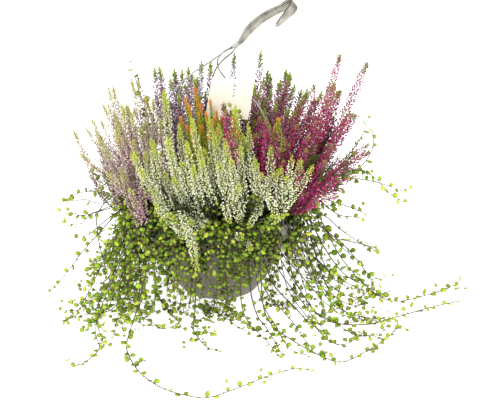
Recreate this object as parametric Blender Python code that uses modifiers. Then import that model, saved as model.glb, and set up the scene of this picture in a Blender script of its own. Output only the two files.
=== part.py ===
"""Heather hanging basket, standing on its pot, with its hanger folded up above the flowers.

A tapered plastic pot holds compost, six heathers in their own crowns and a wire vine that
spills over the rim and trails along the surface.  The moulded hanger has a hook, three
strands and three clips on the rim, and a card tag leans on one strand.

Metres, +Z up.  The origin is the centre of the pot's flat underside, and -Y is the front.
"""
import bmesh
import bpy
import math
import numpy as np
from mathutils import Matrix, Vector

# Pot, a turned shell
POT_BASE_RADIUS = 0.052
POT_KNEE_RADIUS = 0.070
POT_KNEE_HEIGHT = 0.019
POT_WAIST_RADIUS = 0.093
POT_WAIST_HEIGHT = 0.062
POT_MOUTH_RADIUS = 0.1145
POT_HEIGHT = 0.125
POT_WALL = 0.0025
LIP_WIDTH = 0.0045
LIP_DROP = 0.010
DRAIN_RADIUS = 0.0045
DRAIN_CIRCLE = 0.036
DRAIN_COUNT = 5

# Compost
SOIL_DEPTH_BELOW_RIM = 0.013
GAP = 0.0004

# Heather crowns stand on the compost, five round one
CROWN_CIRCLE = 0.058
CROWN_RADIUS = 0.031
CENTRE_CROWN_RADIUS = 0.023
CROWN_HEIGHT = 0.052
SPIKE_RADIUS = 0.0068
SPIKE_CLEARANCE = 0.0012
GOLDEN_ANGLE = math.radians(137.508)

# Wire vine, in bunches that hang over the rim between the clips
VINE_SECTION_STEP = math.radians(9.0)
VINE_EDGE_HEIGHT = 0.006
VINE_LUMP = 0.010
VINE_ROOT_RADIUS = 0.0965
STEM_RADIUS = 0.0011
STEM_SEAT = 0.0006

# Hanger
STRAND_RADIUS = 0.0012
STRAND_OFFSETS = {"left": -0.003, "right": 0.0, "back": 0.003}
STRAND_START = 0.0023
FOOT_START = 0.003
CLIP_AZIMUTHS = {"left": 200.0, "right": 320.0, "back": 80.0}
CLIP_WIDTH = 0.012
CLIP_THICKNESS = 0.0022
CLIP_INNER_LEG = 0.008
JOINT = Vector((0.0275, 0.005, 0.367))
HOOK_LENGTH = 0.093
HOOK_GAP = 0.026
HOOK_WIDTH = 0.013
HOOK_THICKNESS = 0.0034
HOOK_RETURN = 0.029
HOOK_BOW = 0.004
HOOK_ROLL = math.radians(60.0)
HOOK_RISE = math.radians(43.0)
VIEW_TILT = math.radians(22.0)

# Card tag
TAG_SIZE = (0.060, 0.058)
TAG_THICKNESS = 0.0006
TAG_CENTRE = Vector((0.020, -0.0018, 0.2905))
TAG_TURN = math.radians(5.0)
TAG_SLOT = (0.0030, 0.027)
TAG_SLOT_PLACE = (0.003, 0.012)

SOIL_TOP = POT_HEIGHT - SOIL_DEPTH_BELOW_RIM

# Strand routes from below the hook's foot to just above the rim clips
STRAND_ROUTES = {
    "left": [
        (0.006, -0.002, 0.3555), (-0.016, -0.006, 0.3410),
        (-0.042, -0.010, 0.3240), (-0.066, -0.019, 0.2980), (-0.084, -0.027, 0.2660),
        (-0.098, -0.034, 0.2200), (-0.108, -0.038, 0.1700),
    ],
    "right": [
        (0.011, 0.0075, 0.3575), (0.001, 0.006, 0.3460),
        (0.001, 0.003, 0.3350), (0.007, 0.0012, 0.3250), (0.014, 0.0002, 0.3170),
        (0.029, 0.0002, 0.3050), (0.043, 0.0004, 0.2935), (0.055, 0.0004, 0.2830),
        (0.067, -0.016, 0.2660), (0.077, -0.042, 0.2400), (0.086, -0.062, 0.2020),
        (0.091, -0.074, 0.1650),
    ],
    "back": [
        (0.019, 0.013, 0.3520), (0.007, 0.019, 0.3400),
        (-0.001, 0.024, 0.3290), (-0.007, 0.034, 0.3130), (-0.010, 0.052, 0.2850),
        (-0.004, 0.078, 0.2400), (0.008, 0.101, 0.1900), (0.016, 0.112, 0.1550),
    ],
}

# Each heather: crown azimuth or None for the middle one, spike count, the centre and the
# reach of its tips, the height of its middle tips and how far the outer ones fall
HEATHERS = {
    "heather_white": (270.0, 22, (0.008, -0.105), (0.132, 0.066), 0.287, 0.120),
    "heather_mauve": (198.0, 16, (-0.140, -0.020), (0.068, 0.085), 0.305, 0.085),
    "heather_lilac": (126.0, 15, (-0.052, 0.105), (0.062, 0.060), 0.310, 0.075),
    "heather_rose": (54.0, 15, (0.088, 0.105), (0.066, 0.060), 0.315, 0.080),
    "heather_magenta": (342.0, 16, (0.152, -0.008), (0.068, 0.078), 0.330, 0.110),
    "heather_orange": (None, 9, (-0.012, -0.022), (0.046, 0.034), 0.280, 0.045),
}

HEATHER_COLOURS = {
    "heather_white": (0.80, 0.84, 0.66),
    "heather_mauve": (0.50, 0.27, 0.42),
    "heather_lilac": (0.33, 0.17, 0.36),
    "heather_rose": (0.28, 0.12, 0.15),
    "heather_magenta": (0.45, 0.02, 0.17),
    "heather_orange": (0.75, 0.30, 0.04),
}

# Each bunch of vine: first and last azimuth, reach on the surface at both ends and middle
VINES = {
    "wire_vine_right": (-36.5, 16.0, 0.150, 0.172, 0.160),
    "wire_vine_back_right": (18.0, 76.5, 0.160, 0.178, 0.170),
    "wire_vine_back_left": (83.5, 140.0, 0.165, 0.180, 0.178),
    "wire_vine_left": (142.0, 196.5, 0.178, 0.205, 0.208),
    "wire_vine_front_left": (203.5, 258.0, 0.208, 0.195, 0.115),
    "wire_vine_front": (260.0, 316.5, 0.108, 0.112, 0.145),
}

# Trailing stems: the azimuth and height where each leaves the vine, then its hand-picked route
STEM_ROUTES = {
    "stem_front_long": (235.0, 0.0014, [
        (-0.122, -0.180, 0.0014), (-0.118, -0.217, 0.0014), (-0.097, -0.270, 0.0014),
        (-0.065, -0.309, 0.0014), (-0.030, -0.328, 0.0014), (-0.005, -0.331, 0.0014),
        (0.033, -0.306, 0.0014), (0.072, -0.276, 0.0014), (0.107, -0.258, 0.0014),
        (0.128, -0.266, 0.0014),
    ]),
    "stem_front_right": (295.0, 0.0014, [
        (0.083, -0.152, 0.0014), (0.112, -0.192, 0.0014), (0.148, -0.232, 0.0014),
        (0.170, -0.240, 0.0014), (0.203, -0.211, 0.0014), (0.240, -0.165, 0.0014),
        (0.254, -0.127, 0.0014),
    ]),
    "stem_right_low": (328.0, 0.0014, [
        (0.152, -0.114, 0.0014), (0.174, -0.133, 0.0014), (0.210, -0.134, 0.0014),
        (0.239, -0.120, 0.0014), (0.284, -0.094, 0.0014), (0.321, -0.074, 0.0014),
        (0.353, -0.061, 0.0014),
    ]),
    "stem_right_long": (366.0, 0.072, [
        (0.176, 0.004, 0.050), (0.205, -0.026, 0.022), (0.236, -0.055, 0.005),
        (0.262, -0.062, 0.0014), (0.290, -0.050, 0.0014), (0.327, -0.028, 0.0014),
        (0.350, -0.008, 0.0014), (0.362, 0.008, 0.0014),
    ]),
    "stem_right_arc": (380.0, 0.055, [
        (0.192, 0.060, 0.034), (0.216, 0.036, 0.012), (0.229, -0.004, 0.0040),
        (0.216, -0.036, 0.0014), (0.196, -0.062, 0.0014),
    ]),
    "stem_right_raised": (358.0, 0.134, [
        (0.160, -0.004, 0.161), (0.190, -0.006, 0.184), (0.222, -0.008, 0.176),
        (0.250, -0.010, 0.148), (0.270, -0.010, 0.136),
    ]),
    "stem_left_stiff": (182.0, 0.084, [
        (-0.200, -0.008, 0.058), (-0.222, -0.014, 0.030), (-0.244, -0.020, 0.004),
        (-0.252, -0.023, 0.0014),
    ]),
    "stem_left_front": (220.0, 0.0014, [
        (-0.168, -0.162, 0.0014), (-0.158, -0.204, 0.0014), (-0.171, -0.240, 0.0014),
        (-0.184, -0.252, 0.0014),
    ]),
    "stem_left_low": (208.0, 0.0014, [
        (-0.204, -0.114, 0.0014), (-0.222, -0.124, 0.0014),
    ]),
    "stem_front_short": (257.0, 0.0014, [
        (-0.033, -0.150, 0.0014), (-0.023, -0.180, 0.0014), (-0.010, -0.203, 0.0014),
        (0.007, -0.213, 0.0014),
    ]),
    "stem_front_fork": (285.0, 0.0014, [
        (0.048, -0.142, 0.0014), (0.066, -0.178, 0.0014), (0.086, -0.230, 0.0014),
    ]),
    "stem_back_right": (47.0, 0.0014, [
        (0.150, 0.156, 0.0014), (0.190, 0.160, 0.0014), (0.226, 0.142, 0.0014),
        (0.252, 0.120, 0.0014),
    ]),
    "stem_back": (86.0, 0.0014, [
        (0.004, 0.210, 0.0014), (0.026, 0.240, 0.0014), (0.066, 0.250, 0.0014),
        (0.096, 0.236, 0.0014),
    ]),
    "stem_back_left": (122.0, 0.0014, [
        (-0.120, 0.190, 0.0014), (-0.152, 0.212, 0.0014), (-0.188, 0.202, 0.0014),
        (-0.206, 0.180, 0.0014),
    ]),
}


def clear_scene() -> None:
    """Remove whatever the file opened with."""
    for thing in list(bpy.data.objects):
        bpy.data.objects.remove(thing, do_unlink=True)


def new_collection(name: str) -> bpy.types.Collection:
    """A collection linked to the scene."""
    made = bpy.data.collections.new(name)
    bpy.context.scene.collection.children.link(made)
    return made


def material(name: str, colour: tuple, roughness: float) -> bpy.types.Material:
    """A plain Principled material."""
    made = bpy.data.materials.new(name)
    made.use_nodes = True
    shader = made.node_tree.nodes["Principled BSDF"]
    shader.inputs["Base Color"].default_value = (*colour, 1.0)
    shader.inputs["Roughness"].default_value = roughness
    shader.inputs["Metallic"].default_value = 0.0
    return made


def add_object(name: str, data, into: bpy.types.Collection, skin=None) -> bpy.types.Object:
    """A named object for a mesh or a curve, with its material."""
    made = bpy.data.objects.new(name, data)
    into.objects.link(made)
    if skin is not None:
        data.materials.append(skin)
    return made


def move_to(thing: bpy.types.Object, into: bpy.types.Collection) -> None:
    """Take an object out of its collections and put it in one."""
    for home in list(thing.users_collection):
        home.objects.unlink(thing)
    into.objects.link(thing)


def turned(name: str, profile: list, steps: int, into, skin) -> bpy.types.Object:
    """A closed turned body from (radius, height) points that run down its outer side."""
    mesh = bpy.data.meshes.new(name)
    points = [(radius, 0.0, height) for radius, height in profile]
    edges = [(i, i + 1) for i in range(len(points) - 1)]
    mesh.from_pydata(points, edges, [])
    body = add_object(name, mesh, into, skin)
    screw = body.modifiers.new("turn", "SCREW")
    screw.angle = math.tau
    screw.steps = steps
    screw.render_steps = steps
    screw.use_merge_vertices = True
    screw.merge_threshold = 0.00001
    return body


def as_mesh(source: bpy.types.Object, into: bpy.types.Collection) -> bpy.types.Object:
    """Turn an object's evaluated shape into a mesh object with its caps welded."""
    bpy.context.view_layer.update()
    ready = source.evaluated_get(bpy.context.evaluated_depsgraph_get())
    mesh = bpy.data.meshes.new_from_object(ready)
    work = bmesh.new()
    work.from_mesh(mesh)
    bmesh.ops.remove_doubles(work, verts=work.verts, dist=0.000005)
    work.to_mesh(mesh)
    work.free()
    name = source.name
    place = source.matrix_world.copy()
    bpy.data.objects.remove(source, do_unlink=True)
    made = bpy.data.objects.new(name, mesh)
    made.matrix_world = place
    into.objects.link(made)
    return made


def boolean(body: bpy.types.Object, other: bpy.types.Object, operation: str) -> None:
    """Join or cut a body with another one, which is kept as a wire guide."""
    step = body.modifiers.new(other.name, "BOOLEAN")
    step.operation = operation
    step.solver = "EXACT"
    step.use_self = operation == "UNION"
    step.object = other
    other.hide_render = True
    other.display_type = "WIRE"


def smooth_route(knots: list, spacing: float) -> list:
    """Points at even spacing on a Catmull-Rom curve through a route's own points."""
    points = [Vector(knot) for knot in knots]
    ends = [2 * points[0] - points[1], *points, 2 * points[-1] - points[-2]]
    fine = []
    for i in range(1, len(ends) - 2):
        a, b, c, d = ends[i - 1:i + 3]
        for k in range(16):
            t = k / 16
            fine.append(0.5 * ((2 * b) + (c - a) * t + (2 * a - 5 * b + 4 * c - d) * t * t
                               + (3 * b - a - 3 * c + d) * t ** 3))
    fine.append(points[-1])
    lengths = [0.0]
    for first, second in zip(fine, fine[1:]):
        lengths.append(lengths[-1] + (second - first).length)
    count = max(2, round(lengths[-1] / spacing))
    along = np.linspace(0.0, lengths[-1], count + 1)
    columns = [np.interp(along, lengths, [p[axis] for p in fine]) for axis in range(3)]
    return [Vector(point) for point in zip(*columns)]


def tube(name: str, points: list, radii: list, sides: int, into, skin) -> bpy.types.Object:
    """A round rod along points, with a radius for each, as a capped curve."""
    curve = bpy.data.curves.new(name, "CURVE")
    curve.dimensions = "3D"
    curve.bevel_depth = 1.0
    curve.bevel_resolution = sides // 2 - 2
    curve.use_fill_caps = True
    spline = curve.splines.new("POLY")
    spline.points.add(len(points) - 1)
    for slot, point, radius in zip(spline.points, points, radii):
        slot.co = (*point, 1.0)
        slot.radius = radius
    return add_object(name, curve, into, skin)


def outer_radius(height: float) -> float:
    """Radius of the pot's outer wall at a height."""
    heights = [0.0, POT_KNEE_HEIGHT, POT_WAIST_HEIGHT, POT_HEIGHT]
    radii = [POT_BASE_RADIUS, POT_KNEE_RADIUS, POT_WAIST_RADIUS, POT_MOUTH_RADIUS]
    return float(np.interp(height, heights, radii))


def build_pot(parts, cutters) -> None:
    """The tapered pot with its rolled lip and drain holes."""
    lip = POT_MOUTH_RADIUS + LIP_WIDTH
    inner = POT_WALL
    profile = [
        (0.0, POT_WALL),
        (POT_BASE_RADIUS - inner, POT_WALL),
        (POT_KNEE_RADIUS - inner, POT_KNEE_HEIGHT),
        (POT_WAIST_RADIUS - inner, POT_WAIST_HEIGHT),
        (POT_MOUTH_RADIUS - inner, POT_HEIGHT - 0.001),
        (POT_MOUTH_RADIUS - inner + 0.001, POT_HEIGHT),
        (lip - 0.001, POT_HEIGHT),
        (lip, POT_HEIGHT - 0.001),
        (lip, POT_HEIGHT - LIP_DROP),
        (lip - 0.002, POT_HEIGHT - LIP_DROP),
        (lip - 0.002, POT_HEIGHT - 0.003),
        (POT_MOUTH_RADIUS, POT_HEIGHT - 0.003),
        (POT_WAIST_RADIUS, POT_WAIST_HEIGHT),
        (POT_KNEE_RADIUS, POT_KNEE_HEIGHT),
        (POT_BASE_RADIUS + 0.006, 0.0035),
        (POT_BASE_RADIUS, 0.0),
        (0.0, 0.0),
    ]
    skin = material("taupe_plastic", (0.24, 0.23, 0.19), 0.55)
    pot = turned("pot", profile, 44, parts, skin)
    for number in range(DRAIN_COUNT):
        angle = math.tau * (number + 0.25) / DRAIN_COUNT
        bpy.ops.mesh.primitive_cylinder_add(vertices=10, radius=DRAIN_RADIUS, depth=0.03)
        drill = bpy.context.object
        drill.name = f"drain_drill_{number}"
        drill.location = (DRAIN_CIRCLE * math.cos(angle), DRAIN_CIRCLE * math.sin(angle), 0.0)
        move_to(drill, cutters)
        boolean(pot, drill, "DIFFERENCE")


def build_soil(parts) -> None:
    """The compost, a plug that fills the pot to below its rim."""
    gap = POT_WALL + GAP
    mouth = float(np.interp(SOIL_TOP, [POT_WAIST_HEIGHT, POT_HEIGHT],
                            [POT_WAIST_RADIUS, POT_MOUTH_RADIUS]))
    profile = [
        (0.0, SOIL_TOP),
        (mouth - gap - GAP, SOIL_TOP),
        (POT_WAIST_RADIUS - gap - GAP, POT_WAIST_HEIGHT),
        (POT_KNEE_RADIUS - gap - GAP, POT_KNEE_HEIGHT),
        (POT_BASE_RADIUS - gap - 0.001, POT_WALL + GAP),
        (0.0, POT_WALL + GAP),
    ]
    turned("soil", profile, 32, parts, material("compost", (0.035, 0.022, 0.014), 0.95))


def hook_axes() -> tuple:
    """Directions along the shank, across the gap and along the strip's width."""
    up = Vector((0.0, math.sin(VIEW_TILT), math.cos(VIEW_TILT)))
    toward = Vector((0.0, -math.cos(VIEW_TILT), math.sin(VIEW_TILT)))
    side = Vector((1.0, 0.0, 0.0))
    along = math.cos(HOOK_RISE) * side + math.sin(HOOK_RISE) * up
    flat = math.sin(HOOK_RISE) * side - math.cos(HOOK_RISE) * up
    across = math.cos(HOOK_ROLL) * flat + math.sin(HOOK_ROLL) * toward
    return along, across, along.cross(across)


def hook_line() -> list:
    """Centre line of the hook's strip: bowed shank, half turn and flared return leg."""
    along, across, width_way = hook_axes()
    radius = HOOK_GAP / 2
    start = JOINT + FOOT_START * along
    top = HOOK_LENGTH - radius
    line = [start + along * top * share - width_way * HOOK_BOW * math.sin(math.pi * share)
            for share in (0.0, 0.14, 0.32, 0.5, 0.68, 0.85)]
    for step in range(9):
        angle = math.pi * step / 8
        line.append(start + along * (top + radius * math.sin(angle))
                    + across * (radius - radius * math.cos(angle)))
    end = start + along * (top - HOOK_RETURN) + across * (HOOK_GAP + 0.005)
    line += [line[-1].lerp(end, 0.5), end]
    return line


def build_hook(parts) -> None:
    """The hook, a flat strip that narrows at its foot and at its tip."""
    _, _, width_way = hook_axes()
    line = hook_line()
    count = len(line)
    work = bmesh.new()
    rings = []
    for number, point in enumerate(line):
        before = line[max(0, number - 1)]
        after = line[min(count - 1, number + 1)]
        thick_way = (after - before).normalized().cross(width_way)
        narrow = {0: 0.55, 1: 1.0, count - 2: 0.8, count - 1: 0.35}.get(number, 1.0)
        half = width_way * HOOK_WIDTH / 2 * narrow
        lift = thick_way * HOOK_THICKNESS / 2
        corners = [point + half + lift, point - half + lift, point - half - lift,
                   point + half - lift]
        rings.append([work.verts.new(corner) for corner in corners])
    for first, second in zip(rings, rings[1:]):
        for k in range(4):
            work.faces.new((first[k], first[(k + 1) % 4], second[(k + 1) % 4], second[k]))
    work.faces.new(rings[0])
    work.faces.new(rings[-1])
    bmesh.ops.recalc_face_normals(work, faces=work.faces)
    mesh = bpy.data.meshes.new("hanger_hook")
    work.to_mesh(mesh)
    work.free()
    add_object("hanger_hook", mesh, parts, material("grey_nylon", (0.45, 0.43, 0.38), 0.35))


def strand_points(side: str) -> list:
    """A strand's centre line, which ends just above its clip."""
    angle = math.radians(CLIP_AZIMUTHS[side])
    radius = POT_MOUTH_RADIUS + LIP_WIDTH + GAP + CLIP_THICKNESS / 2
    foot = (radius * math.cos(angle), radius * math.sin(angle),
            POT_HEIGHT + CLIP_THICKNESS + 3.5 * GAP)
    along, _, width_way = hook_axes()
    top = JOINT + STRAND_START * along + STRAND_OFFSETS[side] * width_way
    neck = top - 0.009 * along
    return smooth_route([top, neck, *STRAND_ROUTES[side], foot], 0.014)


def build_strands(parts) -> None:
    """The three thin strands of the hanger."""
    skin = material("clear_grey_nylon", (0.42, 0.41, 0.37), 0.3)
    for side in CLIP_AZIMUTHS:
        points = strand_points(side)
        tube(f"hanger_strand_{side}", points, [STRAND_RADIUS] * len(points), 6, parts, skin)


def build_clips(parts) -> None:
    """A bent clip over the lip at the foot of each strand."""
    skin = material("clip_nylon", (0.40, 0.39, 0.35), 0.35)
    lip = POT_MOUTH_RADIUS + LIP_WIDTH
    leg_foot = POT_HEIGHT - CLIP_INNER_LEG
    inner_face = outer_radius(leg_foot) - POT_WALL - 3 * GAP
    outer_face = lip + GAP
    thick = CLIP_THICKNESS
    top = POT_HEIGHT + GAP
    low = POT_HEIGHT - LIP_DROP - GAP
    outline = [
        (outer_face + thick, top + thick), (outer_face + thick, low - thick),
        (lip - 0.003, low - thick), (lip - 0.003, low), (outer_face, low),
        (outer_face, top), (inner_face, top), (inner_face, leg_foot),
        (inner_face - thick, leg_foot), (inner_face - thick, top + thick),
    ]
    for side, azimuth in CLIP_AZIMUTHS.items():
        curve = bpy.data.curves.new(f"rim_clip_{side}", "CURVE")
        curve.dimensions = "2D"
        curve.fill_mode = "BOTH"
        curve.extrude = CLIP_WIDTH / 2
        spline = curve.splines.new("POLY")
        spline.use_cyclic_u = True
        spline.points.add(len(outline) - 1)
        for slot, (radius, height) in zip(spline.points, outline):
            slot.co = (radius, height, 0.0, 1.0)
        clip = add_object(curve.name, curve, parts, skin)
        turn = Matrix.Rotation(math.radians(azimuth), 4, "Z")
        clip.matrix_world = turn @ Matrix.Rotation(math.pi / 2, 4, "X")


def build_tag(parts, cutters) -> None:
    """The card tag that leans on the right-hand strand, with its hanging slot."""
    width, height = TAG_SIZE
    place = Matrix.Translation(TAG_CENTRE) @ Matrix.Rotation(TAG_TURN, 4, "Y")
    bpy.ops.mesh.primitive_cube_add(size=1.0)
    tag = bpy.context.object
    tag.name = "plant_tag"
    tag.data.transform(Matrix.Diagonal((width, TAG_THICKNESS, height, 1.0)))
    tag.matrix_world = place
    tag.data.materials.append(material("cream_card", (0.93, 0.89, 0.72), 0.6))
    move_to(tag, parts)
    bpy.ops.mesh.primitive_cube_add(size=1.0)
    slot = bpy.context.object
    slot.name = "tag_slot"
    slot.data.transform(Matrix.Diagonal((TAG_SLOT[0], 0.01, TAG_SLOT[1], 1.0)))
    slot.matrix_world = place @ Matrix.Translation((TAG_SLOT_PLACE[0], 0.0, TAG_SLOT_PLACE[1]))
    move_to(slot, cutters)
    boolean(tag, slot, "DIFFERENCE")


def spike_route(crown: Vector, spread: float, plan: tuple, number: int) -> list:
    """Centre line of one flower spike, from inside its crown to its tip."""
    _, count, centre, reach, height, fall = plan
    share = math.sqrt((number + 0.5) / count)
    angle = number * GOLDEN_ANGLE
    way = Vector((math.cos(angle), math.sin(angle), 0.0))
    base = crown + way * spread * 0.62 * share + Vector((0.0, 0.0, 0.018))
    tip = Vector((centre[0] + reach[0] * share * way.x, centre[1] + reach[1] * share * way.y,
                  height - fall * share * share))
    bend = base.lerp(tip, 0.45) + Vector((0.0, 0.0, 0.035))
    line = []
    for step in range(6):
        t = step / 5
        line.append(base * (1 - t) ** 2 + bend * 2 * t * (1 - t) + tip * t * t)
    return line


def spike_radii() -> list:
    """Radii of a spike: bare stem, full of flower, then a thin tip."""
    return [SPIKE_RADIUS * share for share in (0.5, 0.8, 1.0, 0.95, 0.7, 0.22)]


def sampled(points: list, radii: list) -> np.ndarray:
    """Close samples of a rod as rows of x, y, z and radius."""
    rows = []
    for i in range(len(points) - 1):
        for k in range(8):
            t = k / 8
            spot = points[i].lerp(points[i + 1], t)
            rows.append((*spot, radii[i] * (1 - t) + radii[i + 1] * t))
    rows.append((*points[-1], radii[-1]))
    return np.array(rows)


def gap_between(first: np.ndarray, second: np.ndarray) -> float:
    """Smallest clear distance between two sampled rods."""
    spans = np.linalg.norm(first[:, None, :3] - second[None, :, :3], axis=2)
    return float((spans - first[:, None, 3] - second[None, :, 3]).min())


def tag_guard() -> np.ndarray:
    """Samples over the card tag, for keeping spikes clear of it."""
    xs = np.linspace(-TAG_SIZE[0] / 2, TAG_SIZE[0] / 2, 13)
    zs = np.linspace(-TAG_SIZE[1] / 2, TAG_SIZE[1] / 2, 13)
    return np.array([(TAG_CENTRE.x + x, TAG_CENTRE.y, TAG_CENTRE.z + z, 0.0035)
                     for x in xs for z in zs])


def crown_guard(place: Vector, radius: float) -> np.ndarray:
    """Samples inside a crown, for keeping other plants' spikes clear of it."""
    heights = np.linspace(0.0, CROWN_HEIGHT, 7)
    return np.array([(place.x, place.y, place.z + z, radius + 0.0015) for z in heights])


def build_heathers(parts, cutters) -> None:
    """Six heathers, each a crown and its spikes joined in one body."""
    hanger = []
    for side in CLIP_AZIMUTHS:
        points = strand_points(side)
        hanger.append(sampled(points, [STRAND_RADIUS] * len(points)))
    hanger.append(tag_guard())
    crowns = {}
    for name, plan in HEATHERS.items():
        place = Vector((0.0, 0.0, SOIL_TOP + GAP))
        radius = CENTRE_CROWN_RADIUS
        if plan[0] is not None:
            angle = math.radians(plan[0])
            place += CROWN_CIRCLE * Vector((math.cos(angle), math.sin(angle), 0.0))
            radius = CROWN_RADIUS
        crowns[name] = (place, radius)
    taken = {name: [] for name in HEATHERS}
    for name, plan in HEATHERS.items():
        place, radius = crowns[name]
        others = [crown_guard(*crowns[other]) for other in HEATHERS if other != name]
        for number in range(plan[1]):
            line = spike_route(place, radius, plan, number)
            rod = sampled(line, spike_radii())
            rivals = [r for other in HEATHERS if other != name for r in taken[other]]
            near = min(gap_between(rod, r) for r in [*hanger, *others, *rivals])
            if near > SPIKE_CLEARANCE:
                taken[name].append(rod)
                tube(f"{name}_spike_{number}", line, spike_radii(), 6, cutters, None)
        build_crown(name, place, radius, parts, cutters)


def build_crown(name: str, place: Vector, radius: float, parts, cutters) -> None:
    """A heather's leafy crown, with its spikes joined to it."""
    profile = [
        (0.0, CROWN_HEIGHT), (radius * 0.45, CROWN_HEIGHT * 0.97),
        (radius * 0.8, CROWN_HEIGHT * 0.8), (radius, CROWN_HEIGHT * 0.45),
        (radius * 0.86, 0.0), (0.0, 0.0),
    ]
    skin = material(f"{name}_flowers", HEATHER_COLOURS[name], 0.8)
    crown = turned(name, profile, 12, parts, skin)
    crown.location = place
    spikes = [o for o in cutters.objects if o.name.startswith(f"{name}_spike_")]
    work = bmesh.new()
    for spike in spikes:
        solid = as_mesh(spike, cutters)
        work.from_mesh(solid.data)
        bpy.data.objects.remove(solid, do_unlink=True)
    mesh = bpy.data.meshes.new(f"{name}_spikes")
    work.to_mesh(mesh)
    work.free()
    boolean(crown, add_object(f"{name}_spikes", mesh, cutters), "UNION")


def vine_section(reach: float, azimuth: float) -> list:
    """Outline of a bunch of vine in radius and height: roots, over the lip, to the surface."""
    lip = POT_MOUTH_RADIUS + LIP_WIDTH + 0.0008
    under = POT_HEIGHT - LIP_DROP - 0.0008
    lump = VINE_LUMP * math.sin(3.1 * azimuth) * math.cos(1.7 * azimuth + 0.6)
    slope = reach - lip
    wall = outer_radius(SOIL_TOP) - POT_WALL - 0.0015
    return [
        (VINE_ROOT_RADIUS, SOIL_TOP + GAP),
        (wall, SOIL_TOP + GAP),
        (wall, POT_HEIGHT + 0.0008),
        (lip, POT_HEIGHT + 0.0008),
        (lip, under),
        (outer_radius(under) + 0.003, under),
        (outer_radius(POT_WAIST_HEIGHT) + 0.001, POT_WAIST_HEIGHT),
        (outer_radius(POT_KNEE_HEIGHT) + 0.001, POT_KNEE_HEIGHT),
        (POT_BASE_RADIUS + 0.009, 0.0035),
        (POT_BASE_RADIUS + 0.009, 0.0004),
        (reach, 0.0004),
        (reach, VINE_EDGE_HEIGHT),
        (lip + max(0.010, slope * 0.94), 0.030 + lump),
        (lip + max(0.012, slope * 0.66), 0.078 + lump),
        (lip + 0.014 + 0.25 * slope, 0.122 + lump),
        (lip + 0.006, 0.146 + 0.6 * lump),
        (wall, 0.150 + 0.6 * lump),
        (VINE_ROOT_RADIUS, 0.138),
    ]


def vine_reach(plan: tuple, share: float) -> float:
    """How far a bunch reaches along the surface, between its first and last azimuth."""
    return float(np.interp(share, [0.0, 0.5, 1.0], plan[2:5]))


def build_vines(parts) -> None:
    """The bunches of wire vine, each lofted round the pot between two azimuths."""
    skin = material("vine_leaves", (0.20, 0.35, 0.05), 0.6)
    for name, plan in VINES.items():
        first, last = math.radians(plan[0]), math.radians(plan[1])
        steps = station_count(plan)
        work = bmesh.new()
        rings = []
        for step in range(steps + 1):
            share = step / steps
            azimuth = first + (last - first) * share
            outline = vine_section(vine_reach(plan, share), azimuth)
            rings.append([work.verts.new((r * math.cos(azimuth), r * math.sin(azimuth), z))
                          for r, z in outline])
        size = len(rings[0])
        for a, b in zip(rings, rings[1:]):
            for k in range(size):
                work.faces.new((a[k], a[(k + 1) % size], b[(k + 1) % size], b[k]))
        work.faces.new(rings[0])
        work.faces.new(rings[-1])
        bmesh.ops.recalc_face_normals(work, faces=work.faces)
        bmesh.ops.triangulate(work, faces=work.faces, ngon_method="EAR_CLIP")
        mesh = bpy.data.meshes.new(name)
        work.to_mesh(mesh)
        work.free()
        add_object(name, mesh, parts, skin)


def station_count(plan: tuple) -> int:
    """How many steps a bunch's loft takes between its first and last azimuth."""
    return round(math.radians(plan[1] - plan[0]) / VINE_SECTION_STEP)


def vine_face(azimuth: float, height: float) -> Vector:
    """The point on a bunch's outer face at an azimuth in degrees and a height."""
    for plan in VINES.values():
        turns = [t for t in (-360.0, 0.0, 360.0) if plan[0] <= azimuth + t <= plan[1]]
        if turns:
            break
    share = (azimuth + turns[0] - plan[0]) / (plan[1] - plan[0])
    steps = station_count(plan)
    before = min(int(share * steps), steps - 1)
    corners = []
    for station in (before, before + 1):
        angle = math.radians(plan[0] + (plan[1] - plan[0]) * station / steps)
        outer = vine_section(vine_reach(plan, station / steps), angle)[10:16]
        radius = float(np.interp(height, [z for _, z in outer], [r for r, _ in outer]))
        corners.append((radius, angle))
    (r_a, a), (r_b, b) = corners
    here = math.radians(azimuth + turns[0])
    radius = r_a * r_b * math.sin(b - a) / (r_a * math.sin(here - a) + r_b * math.sin(b - here))
    return Vector((radius * math.cos(here), radius * math.sin(here), height))


def stem_start(azimuth: float, height: float, following: Vector) -> Vector:
    """Where a stem begins, just off the vine's face however the stem leaves it."""
    face = vine_face(azimuth, height)
    climb = vine_face(azimuth, height + 0.001) - face
    around = vine_face(azimuth + 0.3, height) - face
    normal = around.cross(climb).normalized()
    lean = (following - face).normalized().dot(normal)
    return face + normal * (STEM_SEAT + STEM_RADIUS * math.sqrt(max(0.0, 1 - lean * lean)))


def build_stems(parts) -> None:
    """The trailing stems, thin rods that lie along the surface or arch down to it."""
    skin = material("vine_stem", (0.09, 0.06, 0.05), 0.6)
    for name, (azimuth, height, route) in STEM_ROUTES.items():
        points = smooth_route([stem_start(azimuth, height, Vector(route[0])), *route], 0.016)
        radii = list(np.linspace(STEM_RADIUS, STEM_RADIUS * 0.55, len(points)))
        for point, radius in zip(points, radii):
            point.z = max(point.z, radius + 0.0003)
        tube(name, points, radii, 6, parts, skin)


def main() -> None:
    """Build the whole basket."""
    clear_scene()
    parts = new_collection("heather_hanging_basket")
    cutters = new_collection("cutters")
    build_pot(parts, cutters)
    build_soil(parts)
    build_hook(parts)
    build_strands(parts)
    build_clips(parts)
    build_tag(parts, cutters)
    build_heathers(parts, cutters)
    build_vines(parts)
    build_stems(parts)


main()
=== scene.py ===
"""The looks of the heather hanging basket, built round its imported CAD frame.

A taupe plastic pot stands on a pale floor. Six heathers rise from it, wire vine hangs over
its rim and trails along the floor, and a moulded hanger with a blank card tag leans to the
upper right. Metres, +Z up, origin at the centre of the pot's underside, -Y to the viewer.
"""

import logging
import math
from dataclasses import dataclass, field
from enum import Enum

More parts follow.
